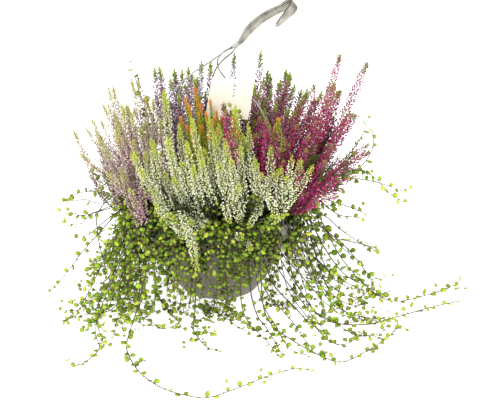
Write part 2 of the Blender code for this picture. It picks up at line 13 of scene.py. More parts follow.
import bmesh
import bpy
import numpy as np
from mathutils import Matrix, Vector


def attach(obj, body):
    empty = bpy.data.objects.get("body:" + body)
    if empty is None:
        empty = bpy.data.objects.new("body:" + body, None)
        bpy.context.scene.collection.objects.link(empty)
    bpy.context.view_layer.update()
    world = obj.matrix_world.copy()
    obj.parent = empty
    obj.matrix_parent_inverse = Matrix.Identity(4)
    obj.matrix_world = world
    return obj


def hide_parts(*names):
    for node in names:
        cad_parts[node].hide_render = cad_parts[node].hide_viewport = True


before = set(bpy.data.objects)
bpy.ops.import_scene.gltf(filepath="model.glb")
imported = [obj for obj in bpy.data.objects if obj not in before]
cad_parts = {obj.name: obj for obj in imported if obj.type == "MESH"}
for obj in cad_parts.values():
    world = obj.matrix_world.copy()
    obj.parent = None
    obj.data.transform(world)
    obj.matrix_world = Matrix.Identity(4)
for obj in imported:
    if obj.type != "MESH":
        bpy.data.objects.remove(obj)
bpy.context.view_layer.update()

LOG = logging.getLogger("heather_basket")
MM = 0.001
GOLDEN_ANGLE = math.radians(137.508)

# The pot and what stands in it, as the CAD has them
POT_HEIGHT = 0.125
POT_WALL = 0.0025
POT_OUTSIDE = ((0.0, 0.052), (0.0035, 0.058), (0.019, 0.070), (0.062, 0.093), (0.125, 0.1145))
LIP_RADIUS = 0.119
LIP_DROP = 0.010
SOIL_TOP = 0.112
CROWN_CIRCLE = 0.058
ROOTS = SOIL_TOP + 0.001
FLOOR_SKIN = 0.0007

# How far above the floor thin trails and the long stems lie, in millimetres
TRAIL_LIES, STEM_LIES = 3.0, 1.4

Points = np.ndarray
Thing = bpy.types.Object
Material = bpy.types.Material
Tree = bpy.types.NodeTree
Node = bpy.types.Node
Socket = bpy.types.NodeSocket
Mesh = bpy.types.Mesh
Rng = np.random.Generator
Pair = tuple[float, float]
Triple = tuple[float, float, float]


class Bit(Enum):
    """The small shapes that are set in great numbers along stems."""

    FLORET = "floret"
    NEEDLE = "needle"
    LEAF = "leaf"
    CRUMB = "crumb"


def linear(code: str) -> tuple[float, float, float, float]:
    """Turns an sRGB hex colour to linear light.

    Args:
        code: The colour as #RRGGBB.

    Returns:
        Red, green, blue and an alpha of one.
    """
    parts = [int(code[k:k + 2], 16) / 255 for k in (1, 3, 5)]
    light = [p / 12.92 if p <= 0.04045 else ((p + 0.055) / 1.055) ** 2.4 for p in parts]
    return (*light, 1.0)


def add_node(tree: Tree, kind: str, inputs: dict | None = None,
             **settings: object) -> Node:
    """Adds a node to a tree, with its settings, its values and its links.

    Args:
        tree: The shader or geometry tree.
        kind: The node's type name.
        inputs: A value, an output socket or a node, for its first output, for each input
            by name or number.
        **settings: The node's own properties, which are set first.

    Returns:
        The new node.
    """
    node = tree.nodes.new(kind)
    for key, value in settings.items():
        setattr(node, key, value)
    for key, value in (inputs or {}).items():
        if isinstance(value, Node):
            value = value.outputs[0]
        if isinstance(value, Socket):
            tree.links.new(value, node.inputs[key])
        else:
            node.inputs[key].default_value = value
    return node


def new_material(name: str, **values: float) -> tuple:
    """Starts a material with one Principled shader.

    Args:
        name: The material's name.
        **values: Constant inputs of the shader, with underscores for spaces.

    Returns:
        The material, its node tree and its shader node.
    """
    made = bpy.data.materials.new(name)
    made.use_nodes = True
    tree = made.node_tree
    tree.nodes.clear()
    constants = {key.replace("_", " "): value for key, value in values.items()}
    shader = add_node(tree, "ShaderNodeBsdfPrincipled", constants)
    add_node(tree, "ShaderNodeOutputMaterial", {"Surface": shader.outputs["BSDF"]})
    return made, tree, shader


def dress(tree: Tree, shader: Node, base: str, layers: tuple, height: Node,
          strength: float, deep_mm: float) -> None:
    """Paints a shader in layers over a base colour and gives it relief.

    Args:
        tree: The material's tree.
        shader: Its shader.
        base: The base colour's code.
        layers: The amount and the colour code of each layer, from the bottom up.
        height: The pattern that stands for relief.
        strength: How strongly the relief shows.
        deep_mm: How deep it is.
    """
    colour = linear(base)
    for amount, code in layers:
        colour = add_node(tree, "ShaderNodeMix", {0: amount, 6: colour, 7: linear(code)},
                          data_type="RGBA").outputs[2]
    bump = add_node(tree, "ShaderNodeBump", {
        "Height": height, "Strength": strength, "Distance": deep_mm * MM})
    tree.links.new(colour, shader.inputs["Base Color"])
    tree.links.new(bump.outputs["Normal"], shader.inputs["Normal"])


@dataclass(frozen=True)
class MouldedPlastic:
    """Injection-moulded plastic: one colour with faint flow clouds, and a fine grain."""

    name: str
    colour: str
    cloud: str
    roughness: float
    cloud_mm: float
    grain_mm: float
    relief: float
    spread: float = 0.5
    dust: str = "#8A7F6C"
    dust_share: float = 0.0

    def material(self) -> Material:
        """Builds the material, which reads Object coordinates.

        Returns:
            The material.
        """
        made, tree, shader = new_material(self.name, IOR=1.49)
        place = add_node(tree, "ShaderNodeTexCoord").outputs["Object"]
        # Clouds where the melt flowed, which on the hook are drawn strong enough to be painted
        # sheen too, and a grain drawn coarser than real so that it shows
        flow, grain = [add_node(tree, "ShaderNodeTexNoise", {
            "Vector": place, "Scale": 1 / (size * MM), "Detail": detail})
            for size, detail in ((self.cloud_mm, 4.0), (self.grain_mm, 2.0))]
        swirl = (flow, 0.5 - self.spread, 0.5 + self.spread, 0.0, 1.0)
        speck = (grain, 0.52, 0.72, 0.0, self.dust_share)
        swirls, specks = [add_node(tree, "ShaderNodeMapRange", dict(enumerate(ramp)))
                          for ramp in (swirl, speck)]
        rough = add_node(tree, "ShaderNodeMapRange", {
            0: flow, 3: self.roughness - 0.06, 4: self.roughness + 0.08})
        tree.links.new(rough.outputs[0], shader.inputs["Roughness"])
        dress(tree, shader, self.colour, ((swirls, self.cloud), (specks, self.dust)),
              grain, self.relief, 0.2)
        return made


@dataclass(frozen=True)
class PressedCard:
    """Smooth pressed card: nearly even cream with a soft fibre mottle and a matt face."""

    name: str = "cream_pulp_card_calendered"
    colour: str = "#EEE7D8"
    fibre: str = "#E8E0CF"

    def material(self) -> Material:
        """Builds the material, which reads Object coordinates.

        Returns:
            The material.
        """
        made, tree, shader = new_material(self.name, Roughness=0.55, Specular_IOR_Level=0.35)
        place = add_node(tree, "ShaderNodeTexCoord").outputs["Object"]
        # Real fibres are 0.02 mm wide: these are drawn at 1.2 mm so that they show
        fibres = add_node(tree, "ShaderNodeTexNoise", {
            "Vector": place, "Scale": 1 / (1.2 * MM), "Detail": 3.0, "Distortion": 1.5})
        dress(tree, shader, self.colour, ((fibres, self.fibre),), fibres, 0.15, 0.1)
        return made


@dataclass(frozen=True)
class LooseCompost:
    """Peat and composted bark: very dark, with a few paler bark and fibre pieces."""

    name: str = "peat_and_bark_compost_loose"
    dark: str = "#1D140D"
    mid: str = "#3A2818"
    bark: str = "#6B4A2C"

    def material(self) -> Material:
        """Builds the material, which reads Object coordinates.

        Returns:
            The material.
        """
        made, tree, shader = new_material(self.name, Roughness=0.92, Specular_IOR_Level=0.2)
        place = add_node(tree, "ShaderNodeTexCoord").outputs["Object"]
        # Pieces of bark 4 mm across, in peat that crumbles to 1.5 mm
        crumbs = add_node(tree, "ShaderNodeTexVoronoi", {"Vector": place, "Scale": 1 / (4.0 * MM)})
        fine = add_node(tree, "ShaderNodeTexNoise", {
            "Vector": place, "Scale": 1 / (1.5 * MM), "Detail": 5.0})
        split = add_node(tree, "ShaderNodeSeparateColor", {0: crumbs.outputs["Color"]})
        few = add_node(tree, "ShaderNodeMapRange", {0: split, 1: 0.78, 2: 0.86})
        dress(tree, shader, self.dark, ((fine, self.mid), (few, self.bark)), fine, 0.6, 0.8)
        return made


@dataclass(frozen=True)
class GrownTissue:
    """Petals, needles or leaves: a pale end on a green foot, and no two quite alike.

    The colour runs from foot to end along each bit's own UV map, falls back to a painted
    shade colour on bits that stand close to the stem, where shade falls among them, and
    turns to the tip colour near the end of the shoot.
    """

    name: str
    foot: str
    end: str
    shade: str
    tip: str
    tip_from: float = 0.86
    tip_to: float = 0.97
    shade_share: float = 0.7
    blush: str = ""
    blush_share: float = 0.0
    roughness: float = 0.55
    vary: float = 0.28
    foot_from: float = 0.10
    foot_to: float = 0.55

    def material(self) -> Material:
        """Builds the material, which reads the UV map and the piece's own attributes.

        Returns:
            The material.
        """
        made, tree, shader = new_material(
            self.name, Roughness=self.roughness, Specular_IOR_Level=0.3)
        along = add_node(tree, "ShaderNodeSeparateXYZ", {
            0: add_node(tree, "ShaderNodeUVMap", uv_map="UVMap")}).outputs[1]
        share, tint, depth, mood = [
            add_node(tree, "ShaderNodeAttribute", attribute_name=word).outputs["Fac"]
            for word in ("share", "tint", "depth", "mood")]
        # The painted shade layer darkens bits that stand close to the stem, where shade falls among
        # them
        layers = [("SMOOTHSTEP", self.end, along, self.foot_from, self.foot_to, 0.0, 1.0),
                  ("LINEAR", self.shade, depth, 0.0, 0.75, self.shade_share, 0.0),
                  ("SMOOTHSTEP", self.tip, share, self.tip_from, self.tip_to, 0.0, 1.0)]
        if self.blush:
            few = self.blush_share
            layers.insert(1, ("LINEAR", self.blush, tint, 1 - few, 1 - few * 0.7, 0.0, 1.0))
        colour = linear(self.foot)
        for kind, code, *ramp in layers:
            amount = add_node(tree, "ShaderNodeMapRange", dict(enumerate(ramp)),
                              interpolation_type=kind)
            colour = add_node(tree, "ShaderNodeMix", {0: amount, 6: colour, 7: linear(code)},
                              data_type="RGBA").outputs[2]
        # The tint and the stem's mood scale the brightness; a low mood is painted shade on the
        # inner shoots, the sunk spikes and the vine stems close to the pot
        one, whole = [add_node(tree, "ShaderNodeMapRange", {
            0: source, 3: 1 - self.vary * less, 4: 1 + self.vary * more})
            for source, less, more in ((tint, 1.0, 0.6), (mood, 1.3, 0.4))]
        level = add_node(tree, "ShaderNodeMath", {0: one, 1: whole}, operation="MULTIPLY")
        final = add_node(tree, "ShaderNodeHueSaturation", {"Value": level, "Color": colour})
        tree.links.new(final.outputs[0], shader.inputs["Base Color"])
        return made


@dataclass(frozen=True)
class WiryBark:
    """Thin young bark: dark and dull, redder and paler towards the growing end."""

    name: str
    old: str
    young: str
    streak: str

    def material(self) -> Material:
        """Builds the material, which reads Object coordinates and the share attribute.

        Returns:
            The material.
        """
        made, tree, shader = new_material(self.name, Roughness=0.6, Specular_IOR_Level=0.35)
        place = add_node(tree, "ShaderNodeTexCoord").outputs["Object"]
        share = add_node(tree, "ShaderNodeAttribute", attribute_name="share").outputs["Fac"]
        # Streaks of dead bark about 5 mm long
        streaks = add_node(tree, "ShaderNodeTexNoise", {
            "Vector": place, "Scale": 1 / (5.0 * MM), "Detail": 4.0})
        some = add_node(tree, "ShaderNodeMapRange", {0: streaks, 1: 0.48, 2: 0.68})
        dress(tree, shader, self.old, ((share, self.young), (some, self.streak)), streaks,
              0.4, 0.2)
        return made


@dataclass
class Line:
    """A stem's centre line and how much grows on it.

    The column is how far its bits stand off it, and the spear shapes that column: its width
    at the foot, along the body and at the end. Mood tints the whole stem lighter or darker
    at random, and a low mood is painted shade on stems that lie in shade. Vigour sizes its
    bits, and the bare share of its length bears none.
    """

    points: Points
    girth: float
    taper: float = 0.45
    column: float = 1.0
    mood: float = 0.5
    vigour: float = 1.0
    end_vigour: float = 0.7
    facing: Triple = (0.0, -0.4, 0.9)
    bare: float = 0.0
    spear: Triple = (0.8, 1.0, 0.25)

    def shares(self) -> Points:
        """Each point's share of the length past the bare foot, negative on the foot."""
        share = walked(self.points) / max(length(self.points), 1e-9)
        return (share - self.bare) / (1 - self.bare)


def length(line: Points) -> float:
    """The length of a line of points."""
    return float(np.linalg.norm(np.diff(line, axis=0), axis=1).sum())


def walked(line: Points) -> Points:
    """How far along a line each of its points lies."""
    return np.concatenate([[0.0], np.cumsum(np.linalg.norm(np.diff(line, axis=0), axis=1))])


def smooth(knots: list, spacing: float) -> Points:
    """Points at even spacing on a Catmull-Rom curve through knots.

    Args:
        knots: The curve's own points.
        spacing: The distance between points, in metres.

    Returns:
        The points, one row each.
    """
    given = np.array(knots, float)
    ends = np.vstack([2 * given[0] - given[1], given, 2 * given[-1] - given[-2]])
    t = np.linspace(0.0, 1.0, 12, endpoint=False)[:, None]
    fine = []
    for a, b, c, d in zip(ends, ends[1:], ends[2:], ends[3:]):
        fine.append(0.5 * (2 * b + (c - a) * t + (2 * a - 5 * b + 4 * c - d) * t ** 2
                           + (3 * b - a - 3 * c + d) * t ** 3))
    fine = np.vstack([*fine, given[-1]])
    given_at = walked(fine)
    count = max(3, round(given_at[-1] / spacing))
    along = np.linspace(0.0, given_at[-1], count + 1)
    return np.stack([np.interp(along, given_at, fine[:, k]) for k in range(3)], axis=1)


def polar(radius: float, turn: float, height: float) -> Points:
    """The point at that distance from the pot's axis, turn round it and height."""
    return np.array([radius * math.cos(turn), radius * math.sin(turn), height])


def ring_at(radius: float, height: float, steps: int, x: float = 0.0, y: float = 0.0) -> list:
    """A level ring of corners round a point."""
    turns = [math.tau * k / steps for k in range(steps)]
    return [(x + radius * math.cos(a), y + radius * math.sin(a), height) for a in turns]


def route(knots: list, low: float) -> Points:
    """Knots in millimetres as points in metres, where one with no height lies that low."""
    return np.array([(*knot, low)[:3] for knot in knots]) * MM


def arc(first: Points, bend: Points, last: Points, count: int) -> Points:
    """Points on a quadratic curve.

    Args:
        first: Its start.
        bend: Its middle control point.
        last: Its end.
        count: How many points.

    Returns:
        The points, one row each.
    """
    t = np.linspace(0.0, 1.0, count)[:, None]
    return first * (1 - t) ** 2 + bend * 2 * t * (1 - t) + last * t * t


def guide_object(name: str, lines: list[Line]) -> Thing:
    """Makes one mesh of open lines with the attributes that the growing trees read.

    Args:
        name: The object's name.
        lines: The stems.

    Returns:
        The guide object.
    """
    places, edges, facing = [], [], []
    columns = {word: [] for word in ("share", "girth", "column", "mood", "vigour")}
    for line in lines:
        start, count = len(places), len(line.points)
        share, (foot, body, end) = line.shares(), line.spear
        grown = share.clip(0.0)
        places.extend(map(tuple, line.points))
        edges.extend((start + k, start + k + 1) for k in range(count - 1))
        for word, values in (
                ("share", share),
                ("girth", line.girth * (1 - (1 - line.taper) * grown)),
                ("column", line.column * np.interp(share, [0.0, 0.15, 0.80, 1.0],
                                                   [foot, body, body, end])),
                ("mood", np.full(count, line.mood)),
                ("vigour", line.vigour * (1 - (1 - line.end_vigour) * grown ** 2))):
            columns[word].extend(values)
        facing.extend([line.facing] * count)
    mesh = bpy.data.meshes.new(name)
    mesh.from_pydata(places, edges, [])
    for word, values in columns.items():
        layer = mesh.attributes.new(word, "FLOAT", "POINT")
        layer.data.foreach_set("value", np.array(values, np.float32))
    layer = mesh.attributes.new("facing", "FLOAT_VECTOR", "POINT")
    layer.data.foreach_set("vector", np.array(facing, np.float32).ravel())
    return link(name, mesh)


def link(name: str, mesh: Mesh) -> Thing:
    """Puts a mesh in the scene as an object at the origin.

    Args:
        name: The object's name.
        mesh: Its mesh.

    Returns:
        The object.
    """
    made = bpy.data.objects.new(name, mesh)
    bpy.context.scene.collection.objects.link(made)
    return made


def drop(*things: Thing) -> None:
    """Removes helper objects that the model doesn't show."""
    for thing in things:
        bpy.data.objects.remove(thing, do_unlink=True)


class Garden:
    """The two growing trees and the small shapes that they set."""

    def __init__(self) -> None:
        """Builds the shapes and both Geometry Nodes trees."""
        self.bits = {bit: self.bit_object(bit) for bit in Bit}
        self.stem_tree = self.build_stem_tree()
        self.spray_tree = self.build_spray_tree()

    def bit_object(self, bit: Bit) -> Thing:
        """Makes one small closed shape, one unit long, that stands on the origin along Z.

        Args:
            bit: Which shape.

        Returns:
            Its object, with a UV map that runs from foot to end.
        """
        if bit is Bit.CRUMB:
            verts, faces = self.crumb_shape()
        elif bit is Bit.LEAF:
            verts, faces = self.leaf_shape()
        else:
            belly = {Bit.FLORET: (0.60, 0.27), Bit.NEEDLE: (0.34, 0.15)}[bit]
            verts, faces = self.spindle_shape(*belly)
        mesh = bpy.data.meshes.new(f"bit_{bit.value}")
        mesh.from_pydata(verts, [], faces)
        work = bmesh.new()
        work.from_mesh(mesh)
        bmesh.ops.recalc_face_normals(work, faces=work.faces)
        along = work.loops.layers.uv.new("UVMap")
        for face in work.faces:
            face.smooth = True
            for loop in face.loops:
                loop[along].uv = (0.5 + loop.vert.co.y, min(1.0, max(0.0, loop.vert.co.z)))
        work.to_mesh(mesh)
        work.free()
        return link(mesh.name, mesh)

    @staticmethod
    def spindle_shape(height: float, radius: float) -> tuple[list, list]:
        """A closed bud or needle: three corners between two end points.

        Args:
            height: How high the corners lie.
            radius: How far they stand out.

        Returns:
            Its corners and its faces.
        """
        verts = [(0.0, 0.0, 0.0), *ring_at(radius, height, 3), (0.0, 0.0, 1.0)]
        faces = [(0, 1 + (k + 1) % 3, 1 + k) for k in range(3)]
        faces += [(1 + k, 1 + (k + 1) % 3, 4) for k in range(3)]
        return verts, faces

    @staticmethod
    def leaf_shape() -> tuple[list, list]:
        """A small round leaf on its stalk, folded a little along its middle.

        Returns:
            Its corners and its faces.
        """
        rows = ((0.09, 0.32), (0.46, 0.47), (0.86, 0.31))
        verts = [(0.0, 0.0, -0.16), (0.0, 0.0, 1.0)]
        fold, thick = 0.10, 0.016
        for height, half in rows:
            curl = 0.16 * (height - 0.35) ** 2
            verts += [(curl - fold * half, half, height), (curl - fold * half, -half, height),
                      (curl + thick, 0.0, height), (curl - thick, 0.0, height)]
        faces = []
        for middle in (2, 3):
            for edge in (0, 1):
                chain = [(2 + 4 * n + edge, 2 + 4 * n + middle) for n in range(len(rows))]
                faces.append((0, chain[0][0], chain[0][1]))
                for (a, b), (c, d) in zip(chain, chain[1:]):
                    faces.append((a, c, d, b))
                faces.append((1, chain[-1][1], chain[-1][0]))
        return verts, faces

    @staticmethod
    def crumb_shape() -> tuple[list, list]:
        """An uneven lump of compost or bark.

        Returns:
            Its corners and its faces.
        """
        rng = np.random.default_rng(5)
        work = bmesh.new()
        bmesh.ops.create_icosphere(work, subdivisions=1, radius=0.5)
        verts = [tuple(np.array(v.co) * rng.uniform(0.7, 1.2) * (1.0, 0.6, 0.8))
                 for v in work.verts]
        faces = [tuple(v.index for v in face.verts) for face in work.faces]
        work.free()
        return verts, faces

    @staticmethod
    def new_tree(name: str, sockets: dict) -> tuple:
        """Starts a Geometry Nodes tree with named inputs.

        Args:
            name: The tree's name.
            sockets: The socket type of each input after the geometry, by name.

        Returns:
            The tree and its inputs.
        """
        tree = bpy.data.node_groups.new(name, "GeometryNodeTree")
        tree.is_modifier = True
        for way in ("INPUT", "OUTPUT"):
            tree.interface.new_socket("Geometry", in_out=way, socket_type="NodeSocketGeometry")
        for word, kind in sockets.items():
            tree.interface.new_socket(word, in_out="INPUT", socket_type=kind)
        return tree, add_node(tree, "NodeGroupInput").outputs

    def build_stem_tree(self) -> Tree:
        """The tree that turns guide lines to round stems as thick as their girth.

        Returns:
            The tree.
        """
        tree, given = self.new_tree("round_stems", {
            "sides": "NodeSocketInt", "material": "NodeSocketMaterial"})
        girth = add_node(tree, "GeometryNodeInputNamedAttribute", {"Name": "girth"},
                         data_type="FLOAT")
        lines = add_node(tree, "GeometryNodeMeshToCurve", {0: given["Geometry"]})
        ring = add_node(tree, "GeometryNodeCurvePrimitiveCircle", {
            "Resolution": given["sides"], "Radius": 1.0})
        rods = add_node(tree, "GeometryNodeCurveToMesh", {
            "Curve": lines, "Profile Curve": ring, "Scale": girth, "Fill Caps": True})
        soft = add_node(tree, "GeometryNodeSetShadeSmooth", {0: rods})
        real = add_node(tree, "GeometryNodeRealizeInstances", {0: soft})
        skin = add_node(tree, "GeometryNodeSetMaterial", {0: real, "Material": given["material"]})
        add_node(tree, "NodeGroupOutput", {0: skin})
        return tree

    def build_spray_tree(self) -> Tree:
        """The tree that sets one small shape again and again round guide lines.

        Returns:
            The tree.
        """
        tree, given = self.new_tree("bits_round_stems", {
            "shape": "NodeSocketObject", "seed": "NodeSocketInt",
            "material": "NodeSocketMaterial", **dict.fromkeys(
                ("spacing", "start", "stop", "near", "far", "tilt", "tilt_spread", "small",
                 "large", "facing"), "NodeSocketFloat")})
        read = {word: add_node(tree, "GeometryNodeInputNamedAttribute", {"Name": word},
                               data_type="FLOAT") for word in ("share", "column", "vigour")}
        facing = add_node(tree, "GeometryNodeInputNamedAttribute", {"Name": "facing"},
                          data_type="FLOAT_VECTOR")
        # Six random values for each bit, each from a seed of its own
        seeds = [add_node(tree, "ShaderNodeMath", {0: given["seed"], 1: 17.0 * k},
                          operation="ADD") for k in range(6)]
        chance = [add_node(tree, "FunctionNodeRandomValue", {"Seed": seed}).outputs[1]
                  for seed in seeds]
        lines = add_node(tree, "GeometryNodeMeshToCurve", {0: given["Geometry"]})
        spots = add_node(tree, "GeometryNodeCurveToPoints", {
            "Curve": lines, "Length": given["spacing"]}, mode="LENGTH")
        # Each bit stands a golden angle round the stem from the last one, and some way off it
        along = spots.outputs["Tangent"]
        turn = add_node(tree, "ShaderNodeMath", {
            0: add_node(tree, "GeometryNodeInputIndex"), 1: GOLDEN_ANGLE, 2: chance[0]},
            operation="MULTIPLY_ADD")
        outward = add_node(tree, "ShaderNodeVectorRotate", {
            "Vector": spots.outputs["Normal"], "Axis": along, "Angle": turn})
        stand = add_node(tree, "ShaderNodeMapRange", {
            0: chance[1], 3: given["near"], 4: given["far"]})
        off = add_node(tree, "ShaderNodeMath", {0: stand, 1: read["column"]},
                       operation="MULTIPLY")
        shift = add_node(tree, "ShaderNodeVectorMath", {0: outward, "Scale": off},
                         operation="SCALE")
        geometry = add_node(tree, "GeometryNodeSetPosition", {0: spots, "Offset": shift})
        # The depth, each bit's share of its stand-off, drives the painted shade close to the stem
        for word, value in (("depth", chance[1]), ("tint", chance[2])):
            geometry = add_node(tree, "GeometryNodeStoreNamedAttribute", {
                0: geometry, "Name": word, "Value": value}, data_type="FLOAT", domain="POINT")
        # It tilts from the stem's own way towards the way out
        lean = add_node(tree, "ShaderNodeMapRange", {0: chance[3], 3: -1.0, 4: 1.0})
        tilt = add_node(tree, "ShaderNodeMath", {
            0: lean, 1: given["tilt_spread"], 2: given["tilt"]}, operation="MULTIPLY_ADD")
        legs = []
        for source, way in ((along, "COSINE"), (outward, "SINE")):
            amount = add_node(tree, "ShaderNodeMath", {0: tilt}, operation=way)
            legs.append(add_node(tree, "ShaderNodeVectorMath", {
                0: source, "Scale": amount}, operation="SCALE"))
        heading = add_node(tree, "ShaderNodeVectorMath", {0: legs[0], 1: legs[1]},
                           operation="ADD")
        # Its face turns any way, or to the stem's facing as far as the plan says
        any_way = add_node(tree, "FunctionNodeRandomValue", {
            0: (-1.0, -1.0, -1.0), 1: (1.0, 1.0, 1.0), "Seed": seeds[4]},
            data_type="FLOAT_VECTOR")
        face = add_node(tree, "ShaderNodeMix", {
            0: given["facing"], 4: any_way, 5: facing}, data_type="VECTOR")
        turned = add_node(tree, "FunctionNodeAxesToRotation", {
            0: heading, 1: face.outputs[1]}, primary_axis="Z", secondary_axis="X")
        size = add_node(tree, "ShaderNodeMapRange", {
            0: chance[5], 3: given["small"], 4: given["large"]})
        scale = add_node(tree, "ShaderNodeMath", {0: size, 1: read["vigour"]},
                         operation="MULTIPLY")
        # It is there only between the start and the stop, as shares of the stem's length
        after = add_node(tree, "ShaderNodeMath", {0: read["share"], 1: given["start"]},
                         operation="GREATER_THAN")
        before = add_node(tree, "ShaderNodeMath", {0: read["share"], 1: given["stop"]},
                          operation="LESS_THAN")
        inside = add_node(tree, "ShaderNodeMath", {0: after, 1: before}, operation="MULTIPLY")
        shape = add_node(tree, "GeometryNodeObjectInfo", {"Object": given["shape"]})
        placed = add_node(tree, "GeometryNodeInstanceOnPoints", {
            "Points": geometry, "Selection": inside, "Instance": shape.outputs["Geometry"],
            "Rotation": turned, "Scale": scale})
        real = add_node(tree, "GeometryNodeRealizeInstances", {0: placed})
        skin = add_node(tree, "GeometryNodeSetMaterial", {0: real, "Material": given["material"]})
        add_node(tree, "NodeGroupOutput", {0: skin})
        return tree

    @staticmethod
    def grow(guides: Thing, tree: Tree, **values: object) -> Thing:
        """Runs a tree on guides and keeps the result as a plain mesh.

        Args:
            guides: The object with the guide lines.
            tree: The Geometry Nodes tree.
            **values: The tree's inputs.

        Returns:
            A new object that holds the result.
        """
        grower = guides.modifiers.new("grow", "NODES")
        grower.node_group = tree
        for item in tree.interface.items_tree:
            if item.in_out == "INPUT" and item.name in values:
                grower[item.identifier] = values[item.name]
        depsgraph = bpy.context.evaluated_depsgraph_get()
        mesh = bpy.data.meshes.new_from_object(
            guides.evaluated_get(depsgraph), preserve_all_data_layers=True, depsgraph=depsgraph)
        guides.modifiers.remove(grower)
        return link(f"{guides.name}_{tree.name}", mesh)

    def stems(self, guides: Thing, skin: Material, sides: int) -> Thing:
        """Round stems along guides."""
        return self.grow(guides, self.stem_tree, sides=sides, material=skin)

    def spray(self, guides: Thing, plan: "Spray", skin: Material) -> Thing:
        """One layer of small shapes along guides."""
        turns = {word: math.radians(getattr(plan, word)) for word in ("tilt", "tilt_spread")}
        return self.grow(guides, self.spray_tree, material=skin, shape=self.bits[plan.bit],
                         **{**vars(plan), **turns})

    def clear(self) -> None:
        """Removes the small shapes' own objects."""
        drop(*self.bits.values())


@dataclass(frozen=True)
class Spray:
    """How one kind of bit is set along stems, in metres, degrees and shares of length."""

    bit: Bit
    spacing: float
    start: float
    stop: float
    near: float
    far: float
    tilt: float
    tilt_spread: float
    small: float
    large: float
    facing: float = 0.0
    seed: int = 1


def join(name: str, parts: list[Thing]) -> Thing:
    """Joins objects to one piece and drops the attributes that no material reads.

    Args:
        name: The piece's name.
        parts: The objects, of which the first is kept.

    Returns:
        The piece.
    """
    with bpy.context.temp_override(active_object=parts[0], object=parts[0],
                                   selected_objects=parts, selected_editable_objects=parts):
        bpy.ops.object.join()
    piece = parts[0]
    piece.name = piece.data.name = name
    for word in ("girth", "column", "vigour", "facing", "radius"):
        layer = piece.data.attributes.get(word)
        if layer is not None:
            piece.data.attributes.remove(layer)
    return piece


def pot_radius(height: Points) -> Points:
    """The pot's outer radius at each height."""
    heights, radii = zip(*POT_OUTSIDE)
    return np.interp(height, heights, radii)


def settle(piece: Thing) -> None:
    """Keeps a plant's corners above the floor and out of the pot's wall.

    Args:
        piece: The plant.
    """
    soft, gap = 0.004, 0.0006
    places = np.empty(len(piece.data.vertices) * 3, np.float32)
    piece.data.vertices.foreach_get("co", places)
    places = places.reshape(-1, 3).astype(float)
    low = places[:, 2] < FLOOR_SKIN
    places[low, 2] = FLOOR_SKIN * np.exp((places[low, 2] - FLOOR_SKIN) / soft)
    radius = np.hypot(places[:, 0], places[:, 1])
    wall = np.where(places[:, 2] < POT_HEIGHT - LIP_DROP, pot_radius(places[:, 2]),
                    LIP_RADIUS) + gap
    sunk = (places[:, 2] < SOIL_TOP) & (radius < wall)
    push = wall[sunk] / np.maximum(radius[sunk], 1e-6)
    places[sunk, 0] *= push
    places[sunk, 1] *= push
    piece.data.vertices.foreach_set("co", places.astype(np.float32).ravel())
    piece.data.update()


def closed_shell(name: str, rings: list[list], close_ends: bool = True) -> Thing:
    """A closed skin over rings of corners, each ring with as many corners as the next.

    Args:
        name: The object's name.
        rings: The rings, in order.
        close_ends: Whether the first and last ring are filled.

    Returns:
        The object, with its faces pointing out.
    """
    work = bmesh.new()
    corners = [[work.verts.new(tuple(p)) for p in ring] for ring in rings]
    for first, second in zip(corners, corners[1:]):
        for k in range(len(first)):
            other = (k + 1) % len(first)
            work.faces.new((first[k], first[other], second[other], second[k]))
    if close_ends:
        work.faces.new(corners[0])
        work.faces.new(corners[-1])
    bmesh.ops.remove_doubles(work, verts=work.verts, dist=1e-7)
    bmesh.ops.recalc_face_normals(work, faces=work.faces)
    for face in work.faces:
        face.smooth = True
    mesh = bpy.data.meshes.new(name)
    work.to_mesh(mesh)
    work.free()
    return link(name, mesh)


def finish_piece(piece: Thing, keep_angle: float, skin: Material) -> None:
    """Turns a piece and its live modifiers to a plain mesh with crisp corners and a skin.

    Args:
        piece: The piece.
        keep_angle: Edges sharper than this many degrees stay crisp.
        skin: Its material.
    """
    depsgraph = bpy.context.evaluated_depsgraph_get()
    mesh = bpy.data.meshes.new_from_object(piece.evaluated_get(depsgraph), depsgraph=depsgraph)
    piece.modifiers.clear()
    piece.data = mesh
    mesh.name = piece.name
    mesh.set_sharp_from_angle(angle=math.radians(keep_angle))
    mesh.materials.append(skin)


def hand_over(piece: Thing, node: str) -> None:
    """Gives a piece to the frame: it joins the root body, and the node that it stands for is
    hidden.

    Args:
        piece: The finished piece.
        node: The CAD node that it replaces.
    """
    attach(piece, "root")
    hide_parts(node)
    piece.data.calc_loop_triangles()
    LOG.info("%s: %d triangles", piece.name, len(piece.data.loop_triangles))


